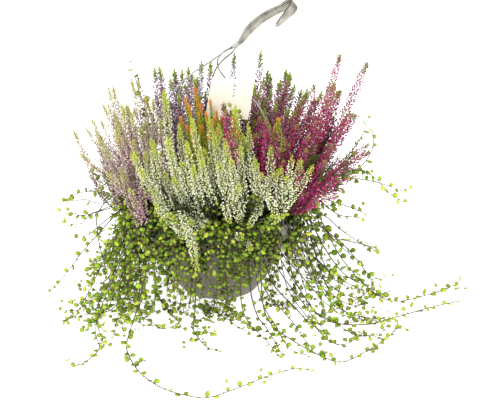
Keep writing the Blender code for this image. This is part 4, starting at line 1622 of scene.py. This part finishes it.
    def grow(self, name: str, node: str, slot: str, groups: list[tuple], rng: Rng,
             seed: int) -> None:
        """Grows leaves and twigs on stems and hands the piece over.

        Args:
            name: The piece's name.
            node: The CAD node that it replaces.
            slot: The record's material slot; not used.
            groups: A habit, its centre lines and the leafless share of each, for each group.
            rng: The random source.
            seed: The seed of its leaves.
        """
        parts = []
        for number, (habit, lines, bares) in enumerate(groups):
            slim = self.twigs(lines, bares, habit, rng)
            leaf = self.dull if habit is INNER else self.fresh
            for more, source, girth, blank, step in (
                    (0, lines, habit.girth, bares, habit.step),
                    (4, slim, self.twig_girth, [0.0] * len(slim), self.twig_step)):
                if not source:
                    continue
                guide = guide_object(f"{name}_{number}", self.dressed(source, girth, blank, rng))
                plan = Spray(Bit.LEAF, step, 0.02, 1.01, 0.0008, 0.0020, 62, 26, habit.small,
                             habit.large, facing=0.68, seed=seed + 10 * number + more)
                parts += [self.garden.stems(guide, self.bark, 4),
                          self.garden.spray(guide, plan, leaf)]
                drop(guide)
        piece = join(name, parts)
        settle(piece)
        hand_over(piece, node)

    @staticmethod
    def risers(places: tuple, rng: Rng) -> list[Points]:
        """Thin stems that climb from the pot between the heathers.

        Args:
            places: Where they end, in millimetres.
            rng: The random source.

        Returns:
            Their centre lines.
        """
        made = []
        for place in places:
            tip = np.array(place) * MM
            radius = max(np.hypot(*tip[:2]), 1e-6)
            base = np.array([*(tip[:2] / radius * min(0.098, radius * 0.92)), SOIL_TOP])
            bend = base * 0.55 + tip * 0.45 + (0.0, 0.0, 0.25 * (tip[2] - base[2]))
            made.append(arc(base, bend + rng.normal(0.0, 0.002, 3), tip, 14))
        return made

    def build_bunches(self) -> None:
        """Grows the six bunches, each with its thin trails."""
        for number, (word, plan) in enumerate(self.sectors.items()):
            rng = np.random.default_rng(300 + number)
            first, last, *reaches, count = plan
            lines = []
            for k in range(count):
                share = (k + rng.uniform(0.1, 0.9)) / count
                reach = float(np.interp(share, [0.0, 0.5, 1.0], reaches))
                layer = rng.uniform(0.05, 1.0) * (0.6 if word == "front" else 1.0)
                end = rng.uniform(0.02, 0.095) if rng.uniform() < self.hanging[word] else 0.0
                azimuth = math.radians(first + (last - first) * share)
                lines.append(self.skirt(azimuth, reach, layer, end, rng.uniform(0.006, 0.042),
                                        rng.normal(0.0, 0.20), rng))
            fans = [smooth(route(knots, TRAIL_LIES), 0.006) for knots in TRAILS.get(word, ())]
            climbs = self.risers(RISERS.get(word, ()), rng)
            # Stems that lie close under the rim, behind the fresh ones, with leaves painted dark as
            # shade
            first, last, reach, low, count = self.inner.get(word, (0.0, 0.0, 0.0, 0.0, 0))
            inside = [self.skirt(math.radians(a), reach, rng.uniform(0.05, 0.35),
                                 rng.uniform(low, 0.100), 0.0, rng.normal(0.0, 0.12), rng)
                      for a in np.linspace(first, last, count)]
            self.grow(f"vine_{word}_bunch", f"wire_vine_{word}", "vine_leaves", [
                (BUNCH, lines, [self.bare.get(word, BUNCH.bare)] * len(lines)),
                (FAN, fans, [FAN.bare] * len(fans)),
                (RISER, climbs, [max(0.3, 1 - 0.030 / length(line)) for line in climbs]),
                (INNER, inside, [INNER.bare] * len(inside))], rng, 500 + 40 * number)

    def build_stems(self) -> None:
        """Grows the long stems that trail past the bunches."""
        for number, (word, (azimuth, height, knots)) in enumerate(STEM_ROUTES.items()):
            rng = np.random.default_rng(700 + number)
            turn, run = math.radians(azimuth), route(knots, STEM_LIES)
            reach = float(np.hypot(*run[0][:2])) - 0.012
            knots = []
            for level in (0.150, 0.122, 0.078, 0.030):
                if level > height * MM + 0.012:
                    radius = float(self.face_radius(reach, level)) - 0.003
                    if level == 0.150:
                        radius = LIP_RADIUS + 0.002
                    knots.append(polar(radius, turn, level - 0.004))
            line = smooth([*knots, *run], 0.006)
            line[:, 2] = np.maximum(line[:, 2], STEM_LIES * MM)
            name = word.replace("stem", "trail")
            self.grow(name, word, "vine_stems", [(LONG, [line], [LONG.bare])], rng,
                      900 + 40 * number)


# Thin stems that the photo shows fanning out past each bunch, in millimetres. A knot that
# has no height lies on the floor.
TRAILS = {
    "right": [
        [(88, -50, 138), (96, -56, 122), (103, -58, 100), (116, -62, 72), (127, -66, 55),
         (142, -72, 39), (158, -78, 21), (176, -88), (190, -104), (210, -118), (235, -118)],
        [(92, -44, 138), (99, -48, 120), (107, -50, 96), (124, -52, 71), (141, -54, 47),
         (159, -58, 28), (179, -63, 15), (193, -70, 6), (213, -81), (243, -93)],
        [(104, -20, 140), (112, -20, 116), (119, -20, 90), (130, -21, 66), (141, -22, 52),
         (158, -24, 37), (172, -26, 27), (193, -30, 13), (216, -36, 5), (240, -44)],
        [(112, 0, 142), (126, 0, 130), (137, 0, 119), (160, 0, 107), (175, 0, 92), (193, 0, 78),
         (212, 0, 65), (226, 2, 60)],
        [(110, -10, 140), (124, -10, 120), (136, -10, 104), (156, -10, 92), (170, -12, 75),
         (193, -14, 55), (208, -16, 43)],
        [(110, 20, 138), (124, 22, 110), (136, 16, 70), (150, -4, 26), (163, -32, 4), (180, -66),
         (199, -79), (214, -60), (228, -30)],
        [(110, 30, 138), (128, 34, 96), (146, 30, 50), (163, 20, 12), (178, -2), (203, -26),
         (222, -34)],
        [(112, 40, 138), (134, 44, 90), (156, 40, 46), (180, 24, 14), (202, 4), (226, -12),
         (250, -14)],
        [(116, -14, 144), (136, -10, 146), (165, -2, 134), (192, 0, 124), (216, 0, 113)],
        [(112, 15, 142), (146, 18, 166), (184, 20, 193), (201, 20, 214), (213, 20, 240),
         (216, 20, 256)],
        [(110, 0, 142), (152, 6, 156), (191, 10, 172), (213, 12, 190), (224, 16, 214),
         (222, 18, 236)],
        [(112, -6, 142), (150, -4, 158), (190, 0, 168), (220, 0, 165), (245, 0, 158),
         (270, 0, 148)],
        [(110, -24, 142), (140, -30, 160), (168, -38, 182), (190, -32, 206)],
        [(116, 24, 144), (150, 22, 124), (176, 20, 104), (197, 20, 100), (213, 20, 98)],
        [(110, -6, 140), (124, -8, 118), (150, -10, 30), (174, -5, 18), (191, 16), (205, 6),
         (226, 6), (242, 13), (260, 23)],
        [(106, -24, 136), (118, -26, 104), (146, -30, 20), (164, -22), (177, -32), (195, -52),
         (203, -58), (213, -45)],
        [(104, -32, 134), (116, -36, 96), (133, -45, 34), (148, -50, 18), (164, -71), (185, -103),
         (202, -112), (226, -121), (242, -115)]],
    "front": [
        [(-30, -96, 138), (-34, -114, 136), (-36, -124, 124), (-36, -126, 104), (-34, -124, 86)],
        [(-20, -98, 138), (-22, -116, 137), (-24, -127, 124), (-22, -128, 102)],
        [(-10, -100, 140), (-10, -118, 137), (-10, -128, 122), (-8, -128, 98), (-4, -124, 80)],
        [(2, -100, 138), (4, -118, 136), (6, -127, 122), (6, -127, 104)],
        [(66, -70, 140), (82, -80, 139), (94, -88, 131), (100, -94, 116), (104, -98, 98),
         (110, -102, 80)],
        [(74, -58, 142), (90, -74, 141), (99, -84, 130), (106, -88, 112), (112, -90, 94)],
        [(60, -78, 140), (74, -90, 138), (84, -98, 128), (88, -102, 112), (90, -104, 92)],
        [(70, -70, 138), (78, -80, 112), (84, -86, 92), (98, -90, 64), (108, -94, 49),
         (119, -99, 34), (130, -105, 17), (141, -108, 4), (151, -121), (167, -135), (188, -132),
         (212, -118)],
        [(52, -84, 136), (60, -98, 110), (66, -104, 84), (78, -108, 52), (94, -112, 33),
         (110, -116, 18), (124, -124, 4), (138, -148), (150, -180), (169, -197), (184, -188),
         (202, -163)],
        [(72, -66, 138), (80, -78, 108), (93, -82, 84), (108, -84, 66), (124, -88, 48),
         (138, -92, 32), (152, -96, 17), (170, -102, 4), (190, -118), (208, -122)],
        [(48, -86, 134), (54, -104, 92), (60, -108, 60), (73, -112, 34), (88, -116, 18),
         (100, -120, 5), (108, -136), (118, -174), (131, -211)],
        [(46, -88, 134), (52, -106, 84), (58, -108, 44), (66, -110, 16), (74, -116), (79, -130),
         (87, -164), (97, -202), (111, -220), (124, -228)],
        [(40, -90, 134), (44, -110, 80), (48, -112, 34), (56, -114, 5), (66, -140), (78, -182),
         (88, -222)],
        [(-30, -94, 132), (-34, -112, 74), (-36, -110, 38), (-30, -96, 10), (-20, -92), (-8, -96),
         (12, -118), (29, -145), (45, -160)],
        [(10, -96, 130), (12, -114, 74), (14, -112, 36), (20, -110, 6), (30, -122), (44, -140),
         (60, -152)],
        [(64, -80, 138), (74, -92, 100), (88, -98, 66), (106, -102, 40), (122, -108, 20),
         (137, -122, 4), (146, -146), (153, -176)],
        [(92, -56, 134), (104, -64, 96), (118, -72, 50), (135, -90), (147, -106), (162, -96),
         (181, -81), (192, -84), (209, -74), (223, -45)],
        [(84, -66, 132), (96, -76, 90), (110, -86, 46), (140, -100), (162, -127), (175, -148),
         (192, -169), (216, -169), (228, -160), (240, -136), (247, -124)],
        [(76, -72, 132), (88, -84, 86), (100, -94, 36), (128, -118), (143, -157), (150, -180),
         (159, -192), (169, -197), (180, -183), (194, -169)]],
    "left": [
        [(-118, -6, 146), (-146, -16, 142), (-172, -20, 138), (-192, -20, 144), (-210, -20, 142),
         (-231, -20, 149)],
        [(-118, -30, 146), (-150, -30, 152), (-171, -24, 158), (-195, -25, 157), (-207, -20, 152),
         (-222, -20, 151)],
        [(-118, -20, 146), (-150, -26, 138), (-175, -30, 129), (-185, -30, 125), (-199, -30, 110),
         (-222, -30, 111)],
        [(-118, -26, 142), (-150, -38, 128), (-182, -48, 104), (-196, -42, 95), (-214, -40, 92)],
        [(-118, -16, 142), (-160, -22, 130), (-195, -28, 122), (-208, -30, 126), (-221, -30, 116)],
        [(-110, -14, 142), (-150, -16, 148), (-175, -20, 122), (-175, -30, 98), (-171, -40, 75),
         (-165, -50, 57), (-159, -58, 38), (-156, -60, 20), (-155, -62)],
        [(-118, -40, 144), (-132, -40, 100), (-144, -40, 76), (-162, -42, 68), (-175, -44, 57),
         (-186, -46, 46)],
        [(-122, 10, 140), (-150, 10, 80), (-165, 8, 10), (-186, -6), (-204, 8), (-215, -2)],
        [(-104, 10, 120), (-100, 6, 200), (-102, 2, 268), (-112, 0, 305), (-118, 0, 329),
         (-123, 0, 343)]],
    "front_left": [
        [(-106, -50, 142), (-124, -64, 88), (-134, -72, 48), (-142, -78, 32), (-158, -82, 26),
         (-172, -86, 20), (-186, -90, 14), (-198, -96, 5), (-208, -108), (-211, -129)],
        [(-104, -54, 140), (-122, -66, 80), (-138, -76, 24), (-149, -84), (-162, -100),
         (-177, -104), (-189, -108), (-202, -118)],
        [(-106, -46, 142), (-136, -56, 80), (-160, -66, 26), (-174, -78), (-173, -111),
         (-165, -150), (-156, -179), (-153, -197)],
        [(-98, -60, 140), (-120, -78, 76), (-134, -94, 14), (-141, -110), (-142, -141),
         (-142, -173), (-144, -202)],
        [(-84, -74, 140), (-104, -90, 80), (-112, -96, 24), (-108, -110), (-97, -126), (-88, -136),
         (-78, -150), (-64, -146)],
        [(-72, -82, 138), (-88, -96, 80), (-84, -96, 26), (-72, -92, 4), (-58, -94), (-44, -106),
         (-32, -118)],
        [(-100, -56, 140), (-124, -72, 82), (-150, -92, 22), (-164, -110), (-182, -138),
         (-196, -148)],
        [(-96, -60, 140), (-112, -72, 80), (-110, -64, 20), (-113, -78), (-127, -112), (-132, -148),
         (-126, -168)],
        [(-80, -76, 138), (-92, -90, 80), (-84, -84, 20), (-72, -93), (-55, -130), (-43, -160)]],
}

# Where single stems climb between the heathers and end in a few leaves, in millimetres
RISERS = {
    "left": ((-179, -30, 190), (-161, -50, 189), (-149, -40, 194), (-133, -70, 175),
             (-139, -60, 187), (-128, -85, 162), (-169, -50, 171), (-114, -80, 173),
             (-168, -20, 205), (-106, -84, 158), (-150, -66, 160)),
    "right": ((188, -40, 173), (158, -60, 174), (147, -70, 151), (132, -80, 146),
              (201, -30, 196), (220, -10, 183), (172, -50, 150), (150, -40, 165)),
    "front": ((20, -20, 275), (19, -20, 284), (2, -115, 174),
              (-16, -120, 156), (16, -118, 156), (46, -110, 185), (54, -110, 182),
              (62, -110, 171), (32, -118, 150)),
}

# The long stems, as the CAD has them: start azimuth in degrees, start height and route
# in millimetres. A knot that has no height lies on the floor.
STEM_ROUTES = {
    "stem_front_long": (235, 1.4, [
        (-122, -180), (-118, -217), (-97, -270), (-65, -309), (-30, -328), (-5, -331), (33, -306),
        (72, -276), (107, -258), (128, -266)]),
    "stem_front_right": (295, 1.4, [
        (83, -152), (112, -192), (148, -232), (170, -240), (203, -211), (240, -165), (254, -127)]),
    "stem_right_low": (328, 1.4, [
        (152, -114), (174, -133), (210, -134), (239, -120), (284, -94), (321, -74), (353, -61)]),
    "stem_right_long": (366, 72, [
        (176, 4, 50), (205, -26, 22), (236, -55, 5), (262, -62), (290, -50), (327, -28), (350, -8),
        (362, 8)]),
    "stem_right_arc": (380, 55, [
        (192, 60, 34), (216, 36, 12), (229, -4, 4), (216, -36), (196, -62)]),
    "stem_right_raised": (358, 134, [
        (160, -4, 161), (190, -6, 184), (222, -8, 176), (250, -10, 148), (270, -10, 136)]),
    "stem_left_stiff": (182, 84, [(-200, -8, 58), (-222, -14, 30), (-244, -20, 4), (-252, -23)]),
    "stem_left_front": (220, 1.4, [(-168, -162), (-158, -204), (-171, -240), (-184, -252)]),
    "stem_left_low": (208, 1.4, [(-204, -114), (-222, -124)]),
    "stem_front_short": (257, 1.4, [(-33, -150), (-23, -180), (-10, -203), (7, -213)]),
    "stem_front_fork": (285, 1.4, [(48, -142), (66, -178), (86, -230)]),
    "stem_back_right": (47, 1.4, [(150, 156), (190, 160), (226, 142), (252, 120)]),
    "stem_back": (86, 1.4, [(4, 210), (26, 240), (66, 250), (96, 236)]),
    "stem_back_left": (122, 1.4, [(-120, 190), (-152, 212), (-188, 202), (-206, 180)]),
}


# The tips of shoots that the photo shows, in millimetres
TIPS = {
    "white": ((-88, -90, 260), (26, -50, 296), (-59, -120, 216), (-31, -120, 234), (32, -130, 209),
        (-37, -140, 160), (36, -135, 138), (48, -130, 114), (-66, -125, 164), (92, -110, 157)),
    "mauve": ((-168, 10, 253), (-164, 10, 278), (-154, 0, 305), (-150, 20, 300), (-134, -20, 286),
        (-126, -10, 282), (-120, -30, 279), (-122, 10, 315), (-114, 20, 319), (-102, 0, 295),
        (-91, -10, 291), (-101, -30, 267), (-138, -50, 253), (-155, -50, 231), (-116, -60, 249),
        (-80, -30, 268), (-63, -40, 242), (-133, -80, 212), (-98, -100, 190), (-177, -40, 204)),
    "lilac": ((-94, 70, 314), (-87, 80, 312), (-70, 60, 300), (-66, 90, 306), (-55, 100, 302),
        (-45, 80, 312), (-34, 60, 300), (-26, 100, 315), (-12, 90, 318), (23, 100, 328),
        (-80, 40, 287), (-58, 40, 283), (-28, 50, 278), (0, 60, 290), (-5, 40, 262), (16, 50, 256),
        (-20, 30, 250), (0, 26, 248), (12, 32, 246), (-8, 50, 268)),
    "rose": ((62, 90, 334), (66, 70, 300), (52, 50, 295), (77, 60, 282), (91, 80, 292),
        (105, 90, 302), (111, 70, 288), (123, 70, 267), (129, 60, 284), (150, 50, 284),
        (76, 90, 299), (67, 30, 263), (101, 30, 263), (84, 40, 270), (58, 60, 280), (115, 40, 262),
        (140, 60, 270), (40, 30, 252), (52, 26, 248), (28, 36, 247), (62, 40, 258), (34, 60, 280)),
    "magenta": ((174, 30, 345), (212, 20, 336), (176, 40, 288), (192, 0, 267), (213, -30, 220),
        (168, -10, 224), (158, 10, 305), (60, 0, 261), (82, -20, 257), (112, -20, 257),
        (139, -20, 262), (182, 0, 261), (158, -40, 227), (124, -50, 231), (189, -50, 189),
        (170, -60, 165), (115, -70, 196), (146, -60, 196), (140, -90, 167), (205, 0, 182),
        (9, -30, 292), (74, -30, 223), (54, -20, 242), (95, -35, 240), (104, -50, 222),
        (128, -30, 245), (70, -10, 250), (70, -48, 258), (79, -58, 251), (86, -66, 238),
        (92, -72, 222), (68, -66, 281), (73, -72, 272), (70, -70, 277)),
    "orange": ((-45, -10, 293), (-32, 10, 302), (-23, -20, 286), (-10, -15, 292), (24, -60, 273),
        (28, -64, 262), (87, -30, 269), (-101, 0, 288), (-16, -20, 275), (-37, -30, 256),
        (-41, -45, 229), (-4, -30, 270), (-28, -5, 290), (-52, -20, 268), (-22, -40, 262),
        (-30, -40, 240), (-12, -44, 250), (-40, -12, 282), (0, -36, 254), (16, -50, 256)),
}

# Flower columns that the photo shows whole: X, Y and Z of foot and tip, in millimetres
COLUMNS = {
    "white": ((-96, -85, 183, -112, -100, 242), (-79, -85, 166, -89, -85, 259),
        (-60, -80, 175, -73, -30, 311), (-62, -100, 164, -104, -105, 224),
        (-46, -95, 170, -67, -90, 265), (-41, -95, 166, -51, -80, 279),
        (-67, -105, 155, -87, -110, 195), (-28, -100, 164, -40, -100, 261),
        (-7, -95, 168, -35, -65, 285), (-14, -105, 185, -23, -100, 250),
        (3, -90, 174, -10, -60, 282), (18, -100, 172, -4, -85, 267), (26, -95, 162, 3, -70, 275),
        (30, -115, 153, 12, -100, 263), (39, -90, 156, 26, -45, 294),
        (39, -105, 174, 32, -100, 254), (54, -90, 179, 43, -60, 272),
        (56, -100, 172, 35, -80, 265), (58, -105, 159, 53, -95, 234),
        (67, -100, 179, 61, -100, 215), (76, -85, 181, 74, -70, 244), (86, -95, 162, 89, -85, 218),
        (90, -95, 160, 116, -70, 224), (91, -95, 158, 133, -80, 219), (98, -90, 179, 96, -90, 206),
        (-51, -118, 138, -85, -118, 179), (-36, -105, 185, -48, -100, 232),
        (-21, -110, 172, -30, -110, 224), (-3, -110, 176, -20, -110, 239),
        (14, -110, 182, 4, -110, 235), (28, -110, 187, 20, -110, 239),
        (-76, -90, 160, -98, -80, 239), (-52, -100, 191, -60, -90, 243),
        (-41, -122, 162, -26, -145, 89), (-31, -120, 163, -19, -135, 141),
        (-42, -120, 135, -59, -125, 160), (65, -110, 187, 83, -120, 155),
        (58, -110, 166, 44, -125, 146), (11, -110, 178, 18, -125, 152),
        (35, -110, 176, 30, -120, 156), (-56, -120, 152, -45, -130, 131),
        (-66, -115, 163, -78, -120, 158), (-46, -120, 166, -36, -138, 122),
        (-28, -118, 166, -14, -128, 148), (-38, -122, 158, -30, -144, 104)),
    "mauve": ((-161, -40, 151, -204, -10, 244), (-150, -35, 165, -175, 0, 244),
        (-141, -60, 152, -160, -40, 226), (-128, -60, 159, -140, -45, 262),
        (-108, -90, 135, -128, -85, 205), (-99, -90, 150, -112, -70, 236),
        (-119, -60, 174, -131, -30, 284), (-100, -95, 140, -120, -95, 190)),
    "magenta": ((108, -84, 164, 118, -80, 210), (122, -76, 168, 150, -55, 215),
        (132, -72, 168, 180, -40, 212), (122, -80, 160, 168, -62, 192),
        (126, -68, 172, 160, -40, 232), (27, -96, 224, 13, -76, 295)),
    "orange": ((40, -92, 243, 24, -84, 287), (91, -70, 235, 84, -60, 279)),
}


def petals(word: str, *looks: str | float, **more: str | float) -> GrownTissue:
    """The finish of a heather's petals, which turn green at the foot."""
    return GrownTissue(f"heather_petals_{word}_fresh", *looks, foot_from=0.05,
                       **{"foot_to": 0.4, **more})


def needles(word: str, *looks: str | float, **more: str | float) -> GrownTissue:
    """The finish of the fresh needles at the tips of a heather."""
    return GrownTissue(f"heather_needles_{word}_fresh", *looks, **{
        "tip_from": 0.5, "tip_to": 0.9, "shade_share": 0.4, "vary": 0.2, **more})


def heathers() -> list[Heather]:
    """The six plants: the CAD's own values, then their colours and habits.

    Returns:
        The plants, clockwise from the front as seen from above, then the middle one.
    """
    paired = {"tip_from": 0.87, "floret_to": 0.97, "laterals": 0.2, "bush": 1.25,
              "stand": (0.0004, 0.0022), "floret_size": (0.0046, 0.0064), "sunk": 0.06,
              "spear": (0.8, 1.0, 0.42), "point": (0.0012, 0.0038, 0.0056)}
    return [
        Heather(
            "white", 270.0, 22, (0.008, -0.105), (0.132, 0.066), 0.287, 0.120,
            petals("white", "#B8CC3C", "#FFFFE4", "#AEC244", "#D8E45C", 0.64, 0.94,
                   shade_share=0.58, vary=0.15, foot_to=0.44),
            needles("lime", "#8CAA2C", "#CADC48", "#66862A", "#D4E252", tip_to=0.80, vary=0.12),
            11, "white_flowers", short=40, laterals=0.08, tip_from=0.80, bush=1.04, end=0.6,
            floret_to=0.97, front=-0.095, floret_step=0.00046, leafy=0.0020, sunk=0.18,
            brush=(34, 0.20), floret_size=(0.0040, 0.0058), point=(0.0016, 0.0036, 0.0052),
            inner=GrownTissue("heather_needles_old_dark", "#121A0A", "#33451A", "#0A0F06",
                              "#465A22", 0.6, 1.0, vary=0.2)),
        Heather(
            "mauve", 198.0, 16, (-0.140, -0.020), (0.068, 0.085), 0.305, 0.085,
            petals("mauve", "#C4B670", "#FAE2DC", "#A8847A", "#DCD692", 0.60, 0.98,
                   shade_share=0.5, blush="#D298C0", blush_share=0.36, vary=0.18),
            needles("green", "#7A8F2A", "#BCCB40", "#6A722A", "#C9D05A"),
            12, "mauve_flowers", floret_step=0.00058, bush=1.12, tip_from=0.88, laterals=0.25,
            stand=(0.0005, 0.0030), end=0.65, floret_size=(0.0042, 0.0058), floret_to=0.97,
            spear=(0.8, 1.0, 0.34), brush=(22, 0.22), leafy=0.0026, sunk=0.08,
            inner=GrownTissue("heather_needles_old_pale", "#4A5426", "#8C984A", "#343C1C",
                              "#98A454", 0.6, 1.0, vary=0.2)),
        Heather(
            "lilac", 126.0, 15, (-0.052, 0.105), (0.062, 0.060), 0.310, 0.075,
            petals("lilac", "#908458", "#E6C0D8", "#6A5052", "#9A9648", blush="#AC7CAE",
                   blush_share=0.42, vary=0.22),
            needles("mid_green", "#98B63C", "#B4D650", "#6A8A2A", "#A2CA3C"),
            13, "lilac_flowers", floret_step=0.00068, brush=(34, 0.252), leafy=0.0032, **paired),
        Heather(
            "rose", 54.0, 15, (0.088, 0.105), (0.066, 0.060), 0.315, 0.080,
            petals("rose", "#8A7646", "#D69CB0", "#62362F", "#9AA044", blush="#BE3E7C",
                   blush_share=0.40, vary=0.24),
            needles("olive", "#98B43A", "#B4D44E", "#6A8828", "#A2C83C"),
            14, "rose_flowers", floret_step=0.00066, brush=(38, 0.248), leafy=0.0028, **paired),
        Heather(
            "magenta", 342.0, 16, (0.152, -0.008), (0.068, 0.078), 0.330, 0.110,
            petals("magenta", "#7A5A30", "#D82A84", "#7C1648", "#BE5A76", blush="#E49CBA",
                   blush_share=0.26, vary=0.26, foot_to=0.34),
            needles("dark_green", "#5E7420", "#94B232", "#4E5E1C", "#98B836", vary=0.15),
            15, "magenta_flowers", floret_step=0.00058, bush=1.35, tip_from=0.92,
            laterals=0.25, stand=(0.0005, 0.0030), end=0.75, floret_size=(0.0046, 0.0063),
            floret_to=0.99, spear=(0.8, 1.0, 0.36), brush=(40, 0.24), front=-0.055,
            leafy=0.0022, sunk=0.06),
        Heather(
            "orange", None, 9, (-0.012, -0.022), (0.046, 0.034), 0.280, 0.045,
            GrownTissue("heather_foliage_orange_fresh", "#7E9E26", "#D0D43A", "#56702A",
                        "#F8A63C", 0.86, 0.98, shade_share=0.45, vary=0.2),
            GrownTissue("heather_foliage_lime_fresh", "#64862A", "#BCD034", "#3A4E1C",
                        "#FAA23C", 0.84, 0.97, shade_share=0.4, vary=0.2),
            16, "orange_foliage", floret_to=1.0, floret_step=0.00066,
            floret_size=(0.0030, 0.0044), stand=(0.0004, 0.0018), laterals=0.35,
            spear=(0.9, 1.0, 0.25)),
    ]


@dataclass
class Studio:
    """The pale floor, the soft lights and the camera at the photo's angle."""

    camera_place: tuple = (0.0458, -1.7147, 0.8279)
    target: tuple = (0.0458, 0.0469, 0.1161)
    lens: float = 91.2
    sky: float = 0.46
    glow: float = 0.80
    lit: tuple = (0.03, 0.0, 0.16)
    lamps: tuple = (("key_softbox", (-0.6, -1.4, 1.85), 0.9, 44.0),
                    ("fill_softbox", (1.3, -1.3, 1.3), 1.2, 12.0),
                    ("back_softbox", (0.3, 1.6, 1.8), 1.2, 12.0))

    def build_floor(self) -> None:
        """A wide, plain, nearly white floor."""
        made, tree, shader = new_material("matt_white_studio_sweep", Roughness=0.9,
                                          Specular_IOR_Level=0.1)
        place = add_node(tree, "ShaderNodeTexCoord").outputs["Object"]
        cloud = add_node(tree, "ShaderNodeTexNoise", {"Vector": place, "Scale": 1.5})
        even = add_node(tree, "ShaderNodeMix", {
            0: cloud, 6: linear("#F6F6F4"), 7: linear("#F8F8F7")}, data_type="RGBA")
        tree.links.new(even.outputs[2], shader.inputs["Base Color"])
        # A lit table: it washes most of the shadow away, as the photo's white ground does
        shader.inputs["Emission Color"].default_value = (1.0, 1.0, 1.0, 1.0)
        shader.inputs["Emission Strength"].default_value = self.glow
        mesh = bpy.data.meshes.new("studio_floor")
        half = 12.0
        mesh.from_pydata([(-half, -half, 0), (half, -half, 0), (half, half, 0), (-half, half, 0)],
                         [], [(0, 1, 2, 3)])
        mesh.materials.append(made)
        link("studio_floor", mesh)

    @staticmethod
    def set_up(thing: Thing, place: tuple, target: tuple) -> None:
        """Puts a light or the camera in the scene, at a place and facing a target.

        Args:
            thing: The light or the camera.
            place: Where it stands.
            target: What it faces.
        """
        thing.location = place
        way = Vector(target) - Vector(place)
        thing.rotation_euler = way.to_track_quat("-Z", "Y").to_euler()
        bpy.context.scene.collection.objects.link(thing)

    def build(self) -> None:
        """Builds the floor, the world, the lights and the camera."""
        self.build_floor()
        scene = bpy.context.scene
        scene.view_settings.view_transform = "Standard"
        world = bpy.data.worlds.new("studio_world")
        world.use_nodes = True
        world.node_tree.nodes["Background"].inputs["Color"].default_value = (1, 1, 1, 1)
        world.node_tree.nodes["Background"].inputs["Strength"].default_value = self.sky
        scene.world = world
        for name, place, size, power in self.lamps:
            lamp = bpy.data.lights.new(name, "AREA")
            lamp.shape, lamp.size, lamp.energy = "SQUARE", size, power
            self.set_up(bpy.data.objects.new(name, lamp), place, self.lit)
        camera = bpy.data.cameras.new("photo_camera")
        camera.lens, camera.sensor_width = self.lens, 36.0
        scene.camera = bpy.data.objects.new("photo_camera", camera)
        self.set_up(scene.camera, self.camera_place, self.target)


def main() -> None:
    """Builds every piece in order and reports it."""
    logging.basicConfig(level=logging.INFO, format="%(message)s")
    Studio().build()
    garden = Garden()
    Pot().build()
    Compost().build(garden)
    Hanger().build(garden)
    Tag().build()
    wood = WiryBark("heather_stem_woody_brown", "#4A3524", "#7A6A34", "#2E2016").material()
    for plant in heathers():
        plant.build(garden, wood)
    vine = Vine(garden)
    vine.build_bunches()
    vine.build_stems()
    garden.clear()


if __name__ == "__main__":
    main()
